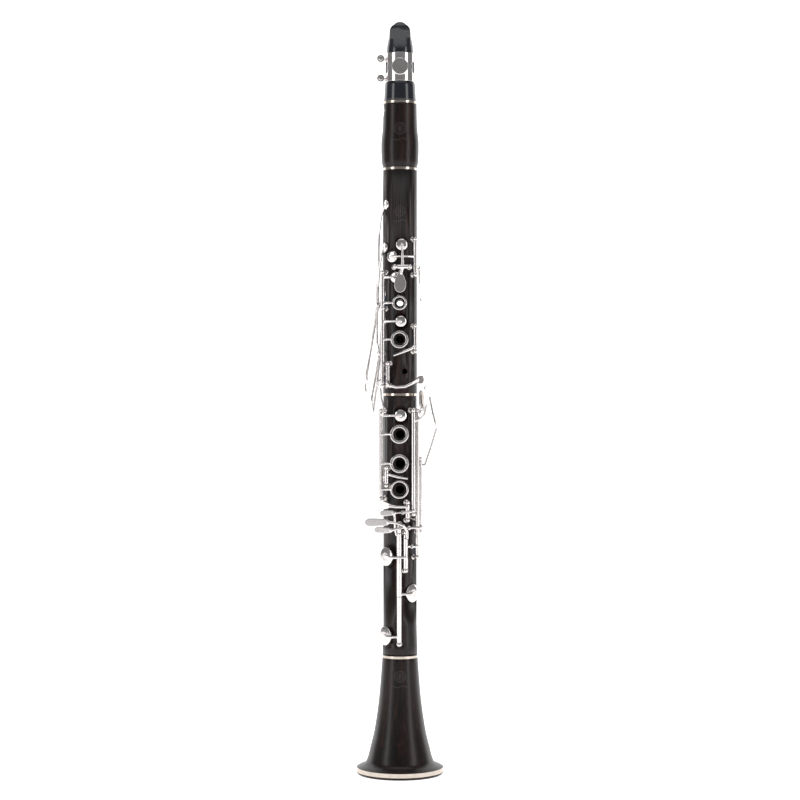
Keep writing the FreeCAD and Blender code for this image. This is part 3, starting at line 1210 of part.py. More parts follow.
def thumb_rest_holes():
    """The flat and the two screw holes for the thumb rest."""
    margin = 0.0
    half = THUMB_REST_LENGTH / 2 + margin
    flat = slab([(PLATE_LEVEL, THUMB_REST_HEIGHT - half), (PLATE_LEVEL, THUMB_REST_HEIGHT + half),
                 (PLATE_LEVEL + 6, THUMB_REST_HEIGHT + half), (PLATE_LEVEL + 6, THUMB_REST_HEIGHT - half)],
                THUMB_REST_WIDTH / 2)
    holes = [rod(V(0, PLATE_LEVEL - 5, THUMB_REST_HEIGHT + z), V(0, PLATE_LEVEL + 1, THUMB_REST_HEIGHT + z),
                 THUMB_SCREW_RADIUS) for z in THUMB_REST_SCREWS]
    return [flat] + holes


def thumb_rest():
    """A plate with a curved hook for the thumb and a ring for a neck strap, and its two screws."""
    half = THUMB_REST_LENGTH / 2
    thick = 1.8
    base = slab([(PLATE_LEVEL, THUMB_REST_HEIGHT - half), (PLATE_LEVEL, THUMB_REST_HEIGHT + half),
                 (PLATE_LEVEL + thick, THUMB_REST_HEIGHT + half), (PLATE_LEVEL + thick, THUMB_REST_HEIGHT - half)],
                THUMB_REST_WIDTH / 2)
    hook_root = THUMB_REST_HEIGHT - 2
    reach = 17.0
    hook = slab([(PLATE_LEVEL, hook_root - 1.3), (PLATE_LEVEL, hook_root + 2.6), (PLATE_LEVEL + 5, hook_root + 1.2),
                 (PLATE_LEVEL + reach, hook_root - 2.0), (PLATE_LEVEL + reach, hook_root - 4.6),
                 (PLATE_LEVEL + 5, hook_root - 1.6)], THUMB_REST_WIDTH / 2 - 1.0)
    ring_height = THUMB_REST_HEIGHT + half - 3.6
    ring_level = PLATE_LEVEL + thick + STRAP_RING_INNER + 1.0
    centre = V(0, ring_level, ring_height)
    across = V(STRAP_RING_THICKNESS / 2, 0, 0)
    ring = rod(centre - across, centre + across, STRAP_RING_OUTER)
    body = join([base, hook, ring])
    body = body.cut(rod(centre - across * 2, centre + across * 2, STRAP_RING_INNER))
    for z in THUMB_REST_SCREWS:
        spot = V(0, PLATE_LEVEL, THUMB_REST_HEIGHT + z)
        body = body.cut(rod(spot - V(0, 1, 0), spot + V(0, thick + 3, 0), THUMB_SCREW_RADIUS))
    screws = []
    for z in THUMB_REST_SCREWS:
        spot = V(0, PLATE_LEVEL, THUMB_REST_HEIGHT + z)
        screws.append(rod(spot - V(0, 5, 0), spot + V(0, thick, 0), THUMB_SCREW_RADIUS))
    return [body] + screws


# ---------------------------------------------------------------- write every piece
def all_pieces():
    """Every node: name to a list of solids, at rest."""
    pieces = {
        "bell": [bell()], "bell_rings": bell_rings(),
        "lower_joint": [lower_joint()],
        "lower_joint_ring": [end_ring(LOWER_RADIUS, UPPER_FOOT - RING_HEIGHT, UPPER_FOOT)],
        "lower_joint_cork": [cork_sleeve(LOWER_FOOT, TENON_LENGTH, -1)],
        "upper_joint": [upper_joint()],
        "upper_joint_corks": [cork_sleeve(UPPER_FOOT, TENON_LENGTH, -1), cork_sleeve(BARREL_FOOT, TENON_LENGTH, 1)],
        "barrel": [barrel()], "barrel_rings": barrel_rings(),
        "mouthpiece": [mouthpiece()],
        "mouthpiece_cork": [cork_sleeve(MOUTHPIECE_FOOT, MOUTHPIECE_TENON_LENGTH, -1)],
        "reed": [reed()], "ligature": [ligature()],
        "ligature_screw_lower": [ligature_screw(0)], "ligature_screw_upper": [ligature_screw(1)],
        "thumb_rest": thumb_rest(),
    }
    upper_springs = springs([n for n in UPPER_HINGES if not is_cross(UPPER_HINGES[n])], UPPER_HINGES)
    lower_springs = springs(list(LOWER_HINGES), LOWER_HINGES)
    pieces["upper_posts"] = posts(list(UPPER_HINGES.values()), SIDE_HINGES, upper_springs)
    pieces["lower_posts"] = posts(list(LOWER_HINGES.values()), (), lower_springs)
    pieces["upper_hinge_rods"] = rods(list(UPPER_HINGES.values()) + SIDE_HINGES)
    pieces["lower_hinge_rods"] = rods(list(LOWER_HINGES.values()))
    pieces["upper_springs"] = upper_springs
    pieces["lower_springs"] = lower_springs

    makers = {
        "first_ring_key": first_ring_key, "second_ring_key": second_ring_key, "throat_a_key": throat_a_key,
        "throat_g_sharp_key": throat_g_sharp_key, "e_flat_sliver_key": e_flat_sliver_key,
        "c_sharp_key": c_sharp_key, "register_key": register_key, "thumb_ring_key": thumb_ring_key,
        "lower_ring_key": lower_ring_key, "b_natural_sliver_key": b_natural_sliver_key,
        "a_flat_key": a_flat_key, "f_key": f_key, "f_sharp_key": f_sharp_key, "e_key": e_key,
        "left_f_sharp_lever": left_f_sharp_lever, "left_f_lever": left_f_lever, "left_e_lever": left_e_lever,
    }
    for name, maker in makers.items():
        hinge, angle = key_hinge(name), rest_angle(name)
        key, pads = maker()
        pieces[name] = [stand_open(key, hinge, angle)]
        if pads:
            pieces[name.replace("_key", "") + "_pad"] = [stand_open(pad, hinge, angle) for pad in pads]
    for index in range(4):
        key, pads = side_key(index)
        pieces["side_key_%d" % (index + 1)] = [key]
        pieces["side_key_%d_pad" % (index + 1)] = pads
    return pieces


def key_hinge(name):
    if name == "f_sharp_key":
        return LOWER_HINGES["e_key"]
    if name.startswith("side_key"):
        return SIDE_HINGES[(int(name[-1]) - 1) // 2]
    return UPPER_HINGES[name] if name in UPPER_HINGES else LOWER_HINGES[name]


LEVER_RATIOS = {"left_f_lever": "f_key", "left_e_lever": "e_key", "left_f_sharp_lever": "f_sharp_key"}
LEVER_EYES = {"left_f_lever": F_EYE, "left_e_lever": E_EYE, "left_f_sharp_lever": F_SHARP_EYE}


def lever_ratio(name):
    """Turn of a left-hand lever for each degree of the key it drives."""
    eye_point = LEVER_EYES[name]
    own, driven = key_hinge(name), key_hinge(LEVER_RATIOS[name])
    out = V(eye_point.x, eye_point.y, 0).normalize()
    reach = [out.dot(hinge.axis.cross(eye_point - hinge.start)) for hinge in (own, driven)]
    return abs(reach[1] / reach[0])


def rest_angle(name):
    """How far back from its closed place a key stands at rest."""
    if name in LEVER_RATIOS and LEVER_RATIOS[name] in OPEN_KEYS:
        return OPEN_KEYS[LEVER_RATIOS[name]] * lever_ratio(name)
    return OPEN_KEYS.get(name, 0.0)


os.makedirs("parts", exist_ok=True)
for node, solids in all_pieces().items():
    shape = solids[0] if len(solids) == 1 else Part.makeCompound(solids)
    shape.exportStep("parts/%s.step" % node)
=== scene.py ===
import bpy
import bmesh
import json
import math
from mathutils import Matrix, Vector


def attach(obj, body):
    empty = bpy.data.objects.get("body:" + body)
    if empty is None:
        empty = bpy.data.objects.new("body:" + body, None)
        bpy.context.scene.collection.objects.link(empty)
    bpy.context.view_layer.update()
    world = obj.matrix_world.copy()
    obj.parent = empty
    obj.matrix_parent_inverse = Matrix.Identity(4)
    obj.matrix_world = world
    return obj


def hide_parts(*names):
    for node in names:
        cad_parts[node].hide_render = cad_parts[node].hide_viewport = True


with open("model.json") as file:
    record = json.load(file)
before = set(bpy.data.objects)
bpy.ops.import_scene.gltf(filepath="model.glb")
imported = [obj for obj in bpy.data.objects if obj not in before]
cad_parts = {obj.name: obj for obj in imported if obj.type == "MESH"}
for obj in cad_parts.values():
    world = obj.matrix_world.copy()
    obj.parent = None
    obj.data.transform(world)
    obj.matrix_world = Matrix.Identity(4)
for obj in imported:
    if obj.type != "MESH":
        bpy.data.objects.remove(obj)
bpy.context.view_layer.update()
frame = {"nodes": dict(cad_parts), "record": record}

# ------------------------------------------------------------------ studio
# A pale paper sweep under and behind the clarinet, two tall soft boxes at the front left and right,
# and a level view straight at the front of the keywork.
VIEW_DISTANCE = 1.855
VIEW_HEIGHT = 0.342
camera_data = bpy.data.cameras.new("front_view")
camera_data.lens = 91
camera_data.sensor_width = 36
camera_data.dof.use_dof = False
camera = bpy.data.objects.new("front_view", camera_data)
camera.location = (0, -VIEW_DISTANCE, VIEW_HEIGHT)
camera.rotation_euler = (math.radians(90), 0, 0)
bpy.context.scene.collection.objects.link(camera)
bpy.context.scene.camera = camera
bpy.context.scene.view_settings.view_transform = "Standard"


def soft_box(name, place, aim, wide, tall, watts, tint=(1, 1, 1)):
    """One area lamp turned to face a point on the instrument."""
    data = bpy.data.lights.new(name, "AREA")
    data.shape, data.size, data.size_y = "RECTANGLE", wide, tall
    data.energy, data.color = watts, tint
    lamp = bpy.data.objects.new(name, data)
    lamp.location = place
    lamp.rotation_euler = (Vector(aim) - Vector(place)).to_track_quat("-Z", "Y").to_euler()
    bpy.context.scene.collection.objects.link(lamp)
    return lamp


soft_box("left_box", (-1.25, -0.95, 0.50), (0, 0, 0.36), 0.42, 1.50, 6.5)
soft_box("right_box", (1.25, -0.95, 0.50), (0, 0, 0.36), 0.42, 1.50, 6.5)
soft_box("top_box", (0, -0.25, 2.1), (0, 0.1, 0), 1.6, 1.6, 9)
soft_box("left_back_box", (-1.3, 1.0, 0.7), (0, 0, 0.4), 0.7, 1.4, 3)
soft_box("right_back_box", (1.3, 1.0, 0.7), (0, 0, 0.4), 0.7, 1.4, 3)

world = bpy.data.worlds.new("room")
world.use_nodes = True
world.node_tree.nodes["Background"].inputs["Color"].default_value = (0.90, 0.91, 0.93, 1)
world.node_tree.nodes["Background"].inputs["Strength"].default_value = 0.24
bpy.context.scene.world = world

sweep_profile = [(-4.0, 0.0), (1.4, 0.0)]
sweep_profile += [(1.4 + 0.8 * math.sin(math.radians(a)), 0.8 - 0.8 * math.cos(math.radians(a))) for a in range(6, 90, 6)]
sweep_profile += [(2.2, 0.8), (2.2, 3.6)]
sweep_mesh = bpy.data.meshes.new("paper_sweep")
sweep_points = [(x, y, z) for y, z in sweep_profile for x in (-4.0, 4.0)]
sweep_faces = [(2 * i, 2 * i + 1, 2 * i + 3, 2 * i + 2) for i in range(len(sweep_profile) - 1)]
sweep_mesh.from_pydata(sweep_points, [], sweep_faces)
for polygon in sweep_mesh.polygons:
    polygon.use_smooth = True
sweep = bpy.data.objects.new("paper_sweep", sweep_mesh)
bpy.context.scene.collection.objects.link(sweep)
paper = bpy.data.materials.new("white_paper")
paper.use_nodes = True
paper_shader = paper.node_tree.nodes["Principled BSDF"]
paper_shader.inputs["Base Color"].default_value = (0.88, 0.88, 0.885, 1)
paper_shader.inputs["Roughness"].default_value = 0.8
paper_shader.inputs["Specular IOR Level"].default_value = 0.1
paper_shader.inputs["Emission Color"].default_value = (1, 1, 1, 1)
paper_shader.inputs["Emission Strength"].default_value = 0.78
sweep_mesh.materials.append(paper)


# ------------------------------------------------------------------ bell
# The flared foot of the instrument: blackwood turned on a lathe, oiled and polished, with a plated
# metal band let in near the rim and another round the socket so that the wood cannot split.
class Signal:
    """An output of a material's nodes; sums and products on it add Math nodes."""

    def __init__(self, tree, socket):
        self.tree = tree
        self.socket = socket

    def worked(self, operation, *values):
        node = self.tree.nodes.new("ShaderNodeMath")
        node.operation = operation
        for entry, value in zip(node.inputs, values):
            plug(self.tree, entry, value)
        return Signal(self.tree, node.outputs[0])

    def __add__(self, other):
        return self.worked("ADD", self, other)

    def __radd__(self, other):
        return self.worked("ADD", other, self)

    def __sub__(self, other):
        return self.worked("SUBTRACT", self, other)

    def __rsub__(self, other):
        return self.worked("SUBTRACT", other, self)

    def __mul__(self, other):
        return self.worked("MULTIPLY", self, other)

    def __rmul__(self, other):
        return self.worked("MULTIPLY", other, self)

    def __pow__(self, power):
        return self.worked("POWER", self, power)

    def above(self, level):
        return self.worked("GREATER_THAN", self, level)

    def held(self):
        """Kept between nought and one."""
        return self.worked("MINIMUM", self.worked("MAXIMUM", self, 0.0), 1.0)


def plug(tree, entry, value):
    """Put a number, a colour or another node's output into a socket."""
    if isinstance(value, Signal):
        tree.links.new(value.socket, entry)
    else:
        entry.default_value = value


class Finish:
    """A material for one of the clarinet's finishes."""

    def __init__(self, name):
        self.material = bpy.data.materials.new(name)
        self.material.use_nodes = True
        self.tree = self.material.node_tree
        self.shader = self.tree.nodes["Principled BSDF"]

    def node(self, kind, settings=None, inputs=None, output=0):
        """Add any node: its settings first, then what goes into its sockets."""
        node = self.tree.nodes.new(kind)
        for key, value in (settings or {}).items():
            setattr(node, key, value)
        for key, value in (inputs or {}).items():
            plug(self.tree, node.inputs[key], value)
        return Signal(self.tree, node.outputs[output])

    def coords(self, stretch=(1, 1, 1)):
        place = self.node("ShaderNodeTexCoord", output=3)
        return self.node("ShaderNodeMapping", {"vector_type": "POINT"}, {"Vector": place, "Scale": stretch})

    def noise(self, stretch, scale, detail=3.0, roughness=0.5, distortion=0.0):
        return self.node("ShaderNodeTexNoise", None, {"Vector": self.coords(stretch), "Scale": scale,
                                                      "Detail": detail, "Roughness": roughness,
                                                      "Distortion": distortion})

    def blend_colours(self, share, first, second):
        return self.node("ShaderNodeMix", {"data_type": "RGBA", "clamp_factor": True},
                         {0: share, 6: first, 7: second}, output=2)

    def bump(self, height, strength, depth):
        return self.node("ShaderNodeBump", None, {"Height": height, "Strength": strength, "Distance": depth})

    def set(self, **values):
        for key, value in values.items():
            plug(self.tree, self.shader.inputs[key.replace("_", " ")], value)
        return self.material


def blackwood(name, medallions=()):
    """Oiled African blackwood: near black, with red-brown streaks along the grain and fine open pores.
    A medallion is a plain stamped rosette with a curled line under it, at a height on the front."""
    finish = Finish(name)
    streak = finish.noise((1, 1, 0.045), 420, 4.0, 0.62, 0.6)
    broad = finish.noise((1, 1, 0.12), 95, 2.0, 0.5)
    pores = finish.noise((1, 1, 0.035), 2600, 2.0, 0.6)
    brown = ((streak - 0.47) * 4.5).held() * 0.55 + ((broad - 0.45) * 3.0).held() * 0.40
    colour = finish.blend_colours(brown, (0.0045, 0.0030, 0.0028, 1), (0.036, 0.0145, 0.0095, 1))
    dots = ((pores - 0.63) * 9.0).held()
    colour = finish.blend_colours(dots * 0.6, colour, (0.003, 0.0024, 0.0022, 1))
    gloss = 0.265 + streak * 0.11 + dots * 0.12
    if medallions:
        place = finish.node("ShaderNodeTexCoord", output=3)
        split = finish.tree.nodes.new("ShaderNodeSeparateXYZ")
        finish.tree.links.new(place.socket, split.inputs[0])
        across, depth, height = [Signal(finish.tree, split.outputs[i]) for i in range(3)]
        front = (0.0 - depth).above(0.004)
        mask = None
        for centre, size in medallions:
            rise = (height - centre) * (1.0 / size)
            side = across * (1.0 / size)
            reach = (rise * rise + side * side).worked("SQRT", rise * rise + side * side)
            turn = rise.worked("ARCTAN2", rise, side)
            petals = (turn * 8.0).worked("COSINE", turn * 8.0) * 0.16 + 0.52
            petal_line = (1.0 - (reach - petals).worked("ABSOLUTE", reach - petals) * 11.0).held()
            rim_line = (1.0 - (reach - 0.92).worked("ABSOLUTE", reach - 0.92) * 12.0).held()
            heart = (1.0 - (reach - 0.17).worked("ABSOLUTE", reach - 0.17) * 12.0).held()
            below = rise + 1.75
            wave = (side * 3.1).worked("SINE", side * 3.1) * 0.16
            curl = (1.0 - (below - wave).worked("ABSOLUTE", below - wave) * 13.0).held()
            curl = curl * (1.25 - side.worked("ABSOLUTE", side)).above(0.0)
            drawn = (petal_line + rim_line + heart + curl).held()
            mask = drawn if mask is None else (mask + drawn).held()
        worn = finish.noise((1, 1, 1), 1500, 2.0)
        mask = mask * front * ((worn - 0.30) * 3.0).held()
        colour = finish.blend_colours(mask * 0.40, colour, (0.20, 0.19, 0.18, 1))
        gloss = gloss + mask * 0.18
    relief = finish.bump(streak * 0.35 - dots, 0.32, 0.00004)
    return finish.set(Base_Color=colour, Roughness=gloss.held(), Normal=relief, Coat_Weight=0.06,
                      Coat_Roughness=0.12, Specular_IOR_Level=0.27)


def plated(name, colour, tarnish, gloss=0.11, lines=0.0):
    """Polished plate: a thin warm bloom in patches, hairline polishing marks and an even shine."""
    finish = Finish(name)
    bloom = finish.noise((1, 1, 1), 130, 3.0, 0.55)
    hairs = finish.noise((1, 1, 14.0) if lines else (3.5, 3.5, 0.35), 900, 2.0, 0.65)
    handled = ((bloom - 0.42) * 2.6).held()
    shade = finish.blend_colours(handled * 0.55, colour + (1,), tarnish + (1,))
    relief = finish.bump(hairs, 0.10 + lines, 0.00002)
    return finish.set(Base_Color=shade, Metallic=1.0, Roughness=gloss + handled * 0.07 + hairs * 0.06, Normal=relief)


def clean_copy(node, name):
    """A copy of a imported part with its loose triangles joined."""
    mesh = frame["nodes"][node].data.copy()
    mesh.name = name
    work = bmesh.new()
    work.from_mesh(mesh)
    bmesh.ops.remove_doubles(work, verts=work.verts, dist=1e-6)
    bmesh.ops.dissolve_degenerate(work, dist=1e-7, edges=work.edges)
    work.to_mesh(mesh)
    work.free()
    mesh.materials.clear()
    piece = bpy.data.objects.new(name, mesh)
    bpy.context.scene.collection.objects.link(piece)
    return piece


def fit(piece, material, body, slot, *nodes):
    """Give a finished piece its material, its moving body and the parts it stands for."""
    if material.name not in piece.data.materials:
        piece.data.materials.append(material)
    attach(piece, body)
    if nodes:
        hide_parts(*nodes)
    return piece


def settled(piece):
    """Turn a piece's modifiers into plain mesh."""
    bpy.context.view_layer.update()
    mesh = bpy.data.meshes.new_from_object(piece.evaluated_get(bpy.context.evaluated_depsgraph_get()))
    mesh.name = piece.name
    piece.modifiers.clear()
    piece.data = mesh
    return piece


def turned_work(node, name, material, body, slot, edge=0.00018, crease=28):
    """Lathe and file work: crisp faces whose edges are broken by a fine rounding."""
    piece = clean_copy(node, name)
    if edge:
        rounding = piece.modifiers.new("broken_edges", "BEVEL")
        rounding.width, rounding.segments = edge, 2
        rounding.limit_method, rounding.angle_limit = "ANGLE", math.radians(40)
        rounding.use_clamp_overlap = True
        settled(piece)
    for polygon in piece.data.polygons:
        polygon.use_smooth = True
    piece.data.set_sharp_from_angle(angle=math.radians(crease))
    return fit(piece, material, body, slot, node)


BELL_MEDALLIONS = [(0.0905, 0.0052)]
bell_wood = blackwood("blackwood_bell", BELL_MEDALLIONS)
ring_plate = plated("warm_ring_plate", (0.62, 0.545, 0.475), (0.44, 0.375, 0.32), 0.16, 0.25)
turned_work("bell", "bell_turning", bell_wood, "bell", "grenadilla", 0)
turned_work("bell_rings", "bell_bands", ring_plate, "bell", "ring_metal", 0)

# ------------------------------------------------------------------ lower and upper joints
# The two body joints: straight blackwood tubes with sunk tone-hole seats and raised finger chimneys,
# a plated ring at the middle socket and cork wrapped round the tenons.
joint_wood_lower = blackwood("blackwood_lower")
joint_wood_upper = blackwood("blackwood_upper", [(0.5140, 0.0050)])
turned_work("lower_joint", "lower_joint_turning", joint_wood_lower, "lower_joint", "grenadilla", 0)
turned_work("upper_joint", "upper_joint_turning", joint_wood_upper, "upper_joint", "grenadilla", 0)
turned_work("lower_joint_ring", "middle_band", ring_plate, "lower_joint", "ring_metal", 0)


def cork_finish():
    """Sheet cork, sanded and greased: tan, with darker lenticels."""
    finish = Finish("tenon_cork")
    cells = finish.node("ShaderNodeTexVoronoi", {"feature": "F1"}, {"Vector": finish.coords(), "Scale": 1500.0})
    patches = finish.noise((1, 1, 1), 420, 3.0)
    lenticels = ((patches - 0.58) * 6.0).held()
    colour = finish.blend_colours(lenticels, (0.50, 0.30, 0.145, 1), (0.17, 0.085, 0.04, 1))
    return finish.set(Base_Color=colour, Roughness=0.72 + lenticels * 0.15,
                      Normal=finish.bump(cells - lenticels, 0.5, 0.0001))


cork = cork_finish()
turned_work("lower_joint_cork", "lower_tenon_cork", cork, "lower_joint", "cork")
turned_work("upper_joint_corks", "upper_tenon_corks", cork, "upper_joint", "cork")

# ------------------------------------------------------------------ barrel
# The short swelling socket piece between the upper joint and the mouthpiece, blackwood with a ring
# at each end, stamped on the front.
barrel_wood = blackwood("blackwood_barrel", [(0.5890, 0.0056)])
turned_work("barrel", "barrel_turning", barrel_wood, "barrel", "grenadilla", 0)
turned_work("barrel_rings", "barrel_bands", ring_plate, "barrel", "ring_metal", 0)


# ------------------------------------------------------------------ mouthpiece, reed and cork
# Hard black rubber, milled and hand-faced, with a long flat facet for the lips, and a cane reed
# held flat against the window at the back.
def ebonite():
    """Polished hard rubber: black with a blue cast, faint buffing marks, duller where the lips rest."""
    finish = Finish("hard_rubber")
    marks = finish.noise((1, 1, 0.3), 700, 3.0, 0.6)
    cloud = finish.noise((1, 1, 1), 90, 2.0)
    colour = finish.blend_colours(cloud, (0.0065, 0.0072, 0.0100, 1), (0.015, 0.0165, 0.024, 1))
    return finish.set(Base_Color=colour, Roughness=0.13 + marks * 0.13, Coat_Weight=0.25, Coat_Roughness=0.08,
                      Normal=finish.bump(marks, 0.12, 0.00002))


def cane():
    """Giant reed cane: straw coloured, with fine brown fibres and a pale scraped tip."""
    finish = Finish("reed_cane")
    fibres = finish.noise((1, 1, 0.02), 3200, 3.0, 0.6)
    spots = finish.noise((1, 1, 0.3), 520, 2.0)
    colour = finish.blend_colours(((fibres - 0.4) * 3.5).held(), (0.70, 0.53, 0.29, 1), (0.45, 0.29, 0.12, 1))
    colour = finish.blend_colours(((spots - 0.66) * 8.0).held() * 0.7, colour, (0.24, 0.13, 0.05, 1))
    return finish.set(Base_Color=colour, Roughness=0.46 + fibres * 0.15, Normal=finish.bump(fibres, 0.4, 0.00005))


turned_work("mouthpiece", "mouthpiece_body", ebonite(), "mouthpiece", "ebonite", 0)
turned_work("mouthpiece_cork", "mouthpiece_tenon_cork", cork, "mouthpiece", "cork")
turned_work("reed", "reed_blade", cane(), "mouthpiece", "cane", 0)


# ------------------------------------------------------------------ keys
# Each key is forged from nickel silver, brazed to its tube, filed to soft rounded sections,
# buffed and plated.  Pads of felt in a cream skin are seated in the cups with shellac.
def forged(node, name, material, body, slot, grain=0.00022, passes=6, limit=78000):
    """Forged and buffed work: one continuous skin over the part, its joins filleted and its edges softened."""
    piece = clean_copy(node, name)
    skin = piece.modifiers.new("one_skin", "REMESH")
    skin.mode, skin.voxel_size, skin.adaptivity = "VOXEL", grain, 0.0
    skin.use_smooth_shade = True
    buffing = piece.modifiers.new("buffing", "SMOOTH")
    buffing.factor, buffing.iterations = 0.5, passes
    settled(piece)
    triangles = sum(len(p.vertices) - 2 for p in piece.data.polygons)
    if triangles > limit:
        lean = piece.modifiers.new("lean", "DECIMATE")
        lean.ratio = limit / triangles
        settled(piece)
    for polygon in piece.data.polygons:
        polygon.use_smooth = True
    return fit(piece, material, body, slot, node)


def pad_skin():
    """Fish-skin pad: cream, faintly wrinkled, darker where it has met its seat."""
    finish = Finish("pad_skin")
    wrinkle = finish.noise((1, 1, 1), 1800, 3.0, 0.6)
    stain = finish.noise((1, 1, 1), 260, 2.0)
    colour = finish.blend_colours(stain, (0.77, 0.70, 0.56, 1), (0.56, 0.46, 0.32, 1))
    return finish.set(Base_Color=colour, Roughness=0.5 + wrinkle * 0.2, Normal=finish.bump(wrinkle, 0.35, 0.00006))


key_plate = plated("silver_key_plate", (0.80, 0.765, 0.75), (0.60, 0.55, 0.53))
skin = pad_skin()
bodies = frame["record"]["behaviour"]["bodies"]
for body, nodes in bodies.items():
    for node in nodes:
        if node.endswith("_pad"):
            forged(node, node + "_skin", skin, body, "pad", 0.00028, 2)
        elif node == body and node.endswith(("_key", "_lever")) or node.startswith("side_key"):
            forged(node, node + "_forging", key_plate, body, "key_silver")

# ------------------------------------------------------------------ ligature and its screws
# A thin plated metal band squeezed round the mouthpiece by two thumb screws, with an oval opening at
# each side and a plain dark enamel disc on the front.
forged("ligature", "ligature_band", key_plate, "mouthpiece", "key_silver", 0.0002, 2)
forged("ligature_screw_lower", "ligature_screw_lower_turning", key_plate, "ligature_screw_lower", "key_silver", 0.0002, 2)
forged("ligature_screw_upper", "ligature_screw_upper_turning", key_plate, "ligature_screw_upper", "key_silver", 0.0002, 2)

# ------------------------------------------------------------------ posts, thumb rest and springs
# Ball-headed posts are screwed into the wood and carry the rods the keys turn on; blued steel
# needles are driven into the posts; the thumb rest is held by two screws at the back.
rod_steel = plated("ground_rod_steel", (0.60, 0.60, 0.61), (0.46, 0.45, 0.45), 0.2, 0.3)
post_plate = plated("silver_post_plate", (0.77, 0.73, 0.71), (0.56, 0.51, 0.48))
forged("upper_posts", "upper_posts_turning", post_plate, "upper_joint", "key_silver", 0.0002, 2, 110000)
forged("lower_posts", "lower_posts_turning", post_plate, "lower_joint", "key_silver", 0.0002, 2, 110000)
forged("thumb_rest", "thumb_rest_forging", post_plate, "lower_joint", "key_silver", 0.0002, 2)
turned_work("upper_hinge_rods", "upper_rods", rod_steel, "upper_joint", "rod_steel", 0)
turned_work("lower_hinge_rods", "lower_rods", rod_steel, "lower_joint", "rod_steel", 0)


def blued_steel():
    """Tempered needle steel: deep blue turning to straw in places."""
    finish = Finish("blued_needle")
    heat = finish.noise((1, 1, 1), 300, 2.0)
    colour = finish.blend_colours(((heat - 0.5) * 5.0).held(), (0.05, 0.085, 0.22, 1), (0.16, 0.12, 0.17, 1))
    return finish.set(Base_Color=colour, Metallic=1.0, Roughness=0.22 + heat * 0.1)


blued = blued_steel()
turned_work("upper_springs", "upper_needles", blued, "upper_joint", "spring_steel", 0)
turned_work("lower_springs", "lower_needles", blued, "lower_joint", "spring_steel", 0)


# ------------------------------------------------------------------ rod heads
# Every hinge rod ends in a low slotted head that a small screwdriver turns, flush in its post.
def rod_ends(node):
    """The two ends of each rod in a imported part, with the way each end faces."""
    work = bmesh.new()
    work.from_mesh(frame["nodes"][node].data)
    bmesh.ops.remove_doubles(work, verts=work.verts, dist=1e-6)
    work.verts.ensure_lookup_table()
    seen, ends = set(), []
    for start in work.verts:
        if start.index in seen:
            continue
        island, queue = [], [start]
        seen.add(start.index)
        while queue:
            vertex = queue.pop()
            island.append(vertex.co.copy())
            for edge in vertex.link_edges:
                other = edge.other_vert(vertex)
                if other.index not in seen:
                    seen.add(other.index)
                    queue.append(other)
        far = max(island, key=lambda c: (c - island[0]).length)
        near = max(island, key=lambda c: (c - far).length)
        line = (far - near).normalized()
        for tip, facing in ((far, line), (near, -line)):
            rim = [c for c in island if abs((c - tip).dot(line)) < 0.0004]
            centre = sum(rim, Vector()) / len(rim)
            flat = [c for c in island if (c - tip).length < 0.0025 and abs((c - centre).dot(line)) < 0.0004]
            true_line = (centre - sum(island, Vector()) / len(island)).normalized()
            ends.append((sum(flat, Vector()) / len(flat), true_line if true_line.dot(facing) > 0 else -true_line))
    work.free()
    return ends


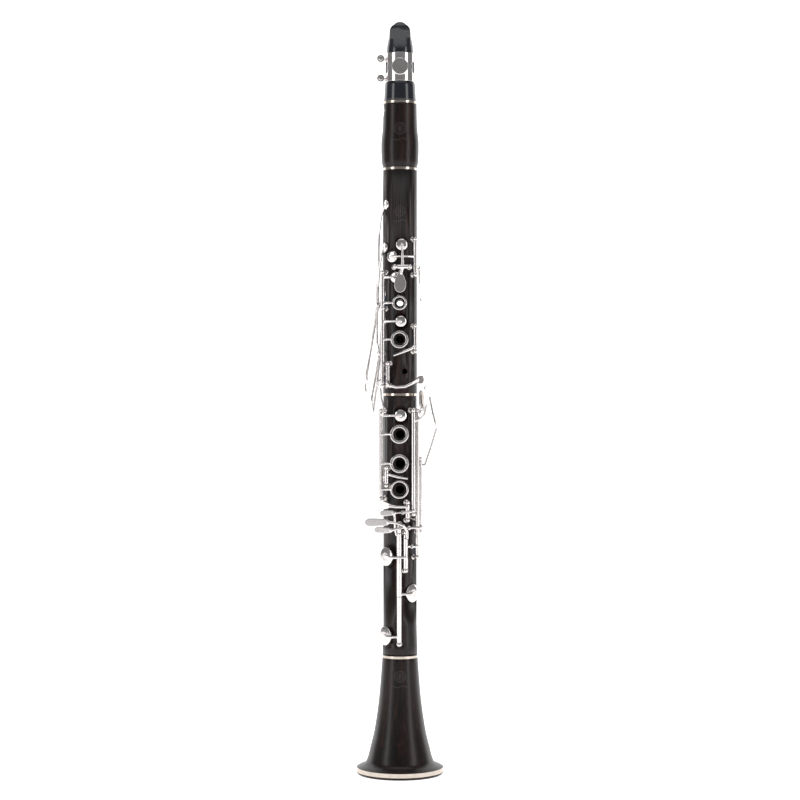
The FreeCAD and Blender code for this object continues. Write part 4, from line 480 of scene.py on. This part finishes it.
def slotted_heads(name, places, body, radius, height):
    """Low slotted heads set at every place by a node tree, then made plain mesh."""
    mesh = bpy.data.meshes.new(name)
    mesh.from_pydata([tuple(p) for p, n in places], [], [])
    facing = mesh.attributes.new("facing", "FLOAT_VECTOR", "POINT")
    for item, (p, n) in zip(facing.data, places):
        item.vector = n
    piece = bpy.data.objects.new(name, mesh)
    bpy.context.scene.collection.objects.link(piece)
    tree = bpy.data.node_groups.new(name + "_tree", "GeometryNodeTree")
    tree.interface.new_socket("Places", in_out="INPUT", socket_type="NodeSocketGeometry")
    tree.interface.new_socket("Head radius", in_out="INPUT", socket_type="NodeSocketFloat")
    tree.interface.new_socket("Head height", in_out="INPUT", socket_type="NodeSocketFloat")
    tree.interface.new_socket("Slot width", in_out="INPUT", socket_type="NodeSocketFloat")
    tree.interface.new_socket("Heads", in_out="OUTPUT", socket_type="NodeSocketGeometry")
    start, finish_node = tree.nodes.new("NodeGroupInput"), tree.nodes.new("NodeGroupOutput")
    button = tree.nodes.new("GeometryNodeMeshCylinder")
    button.inputs["Vertices"].default_value = 24
    tree.links.new(start.outputs["Head radius"], button.inputs["Radius"])
    tree.links.new(start.outputs["Head height"], button.inputs["Depth"])
    slot_size = tree.nodes.new("ShaderNodeCombineXYZ")
    slot_size.inputs[0].default_value = 0.006
    tree.links.new(start.outputs["Slot width"], slot_size.inputs[1])
    tree.links.new(start.outputs["Head height"], slot_size.inputs[2])
    cutter = tree.nodes.new("GeometryNodeMeshCube")
    tree.links.new(slot_size.outputs[0], cutter.inputs["Size"])
    lift = tree.nodes.new("ShaderNodeCombineXYZ")
    half = tree.nodes.new("ShaderNodeMath")
    half.operation = "MULTIPLY"
    half.inputs[1].default_value = 0.45
    tree.links.new(start.outputs["Head height"], half.inputs[0])
    tree.links.new(half.outputs[0], lift.inputs[2])
    raised = tree.nodes.new("GeometryNodeTransform")
    tree.links.new(cutter.outputs["Mesh"], raised.inputs["Geometry"])
    tree.links.new(lift.outputs[0], raised.inputs["Translation"])
    cut = tree.nodes.new("GeometryNodeMeshBoolean")
    cut.operation = "DIFFERENCE"
    tree.links.new(button.outputs["Mesh"], cut.inputs["Mesh 1"])
    tree.links.new(raised.outputs["Geometry"], cut.inputs["Mesh 2"])
    named = tree.nodes.new("GeometryNodeInputNamedAttribute")
    named.data_type = "FLOAT_VECTOR"
    named.inputs["Name"].default_value = "facing"
    align = tree.nodes.new("FunctionNodeAlignRotationToVector")
    align.axis = "Z"
    tree.links.new(named.outputs["Attribute"], align.inputs["Vector"])
    spread = tree.nodes.new("GeometryNodeInstanceOnPoints")
    tree.links.new(start.outputs["Places"], spread.inputs["Points"])
    tree.links.new(cut.outputs["Mesh"], spread.inputs["Instance"])
    tree.links.new(align.outputs["Rotation"], spread.inputs["Rotation"])
    real = tree.nodes.new("GeometryNodeRealizeInstances")
    tree.links.new(spread.outputs["Instances"], real.inputs["Geometry"])
    paint = tree.nodes.new("GeometryNodeSetMaterial")
    paint.inputs["Material"].default_value = rod_steel
    tree.links.new(real.outputs["Geometry"], paint.inputs["Geometry"])
    tree.links.new(paint.outputs["Geometry"], finish_node.inputs["Heads"])
    setter = piece.modifiers.new("heads", "NODES")
    setter.node_group = tree
    sizes = {"Head radius": radius, "Head height": height, "Slot width": 0.00038}
    for item in tree.interface.items_tree:
        if item.in_out == "INPUT" and item.name in sizes:
            setter[item.identifier] = sizes[item.name]
    settled(piece)
    return fit(piece, rod_steel, body, "rod_steel")


slotted_heads("upper_rod_heads", rod_ends("upper_hinge_rods"), "upper_joint", 0.00088, 0.0005)
slotted_heads("lower_rod_heads", rod_ends("lower_hinge_rods"), "lower_joint", 0.00088, 0.0005)
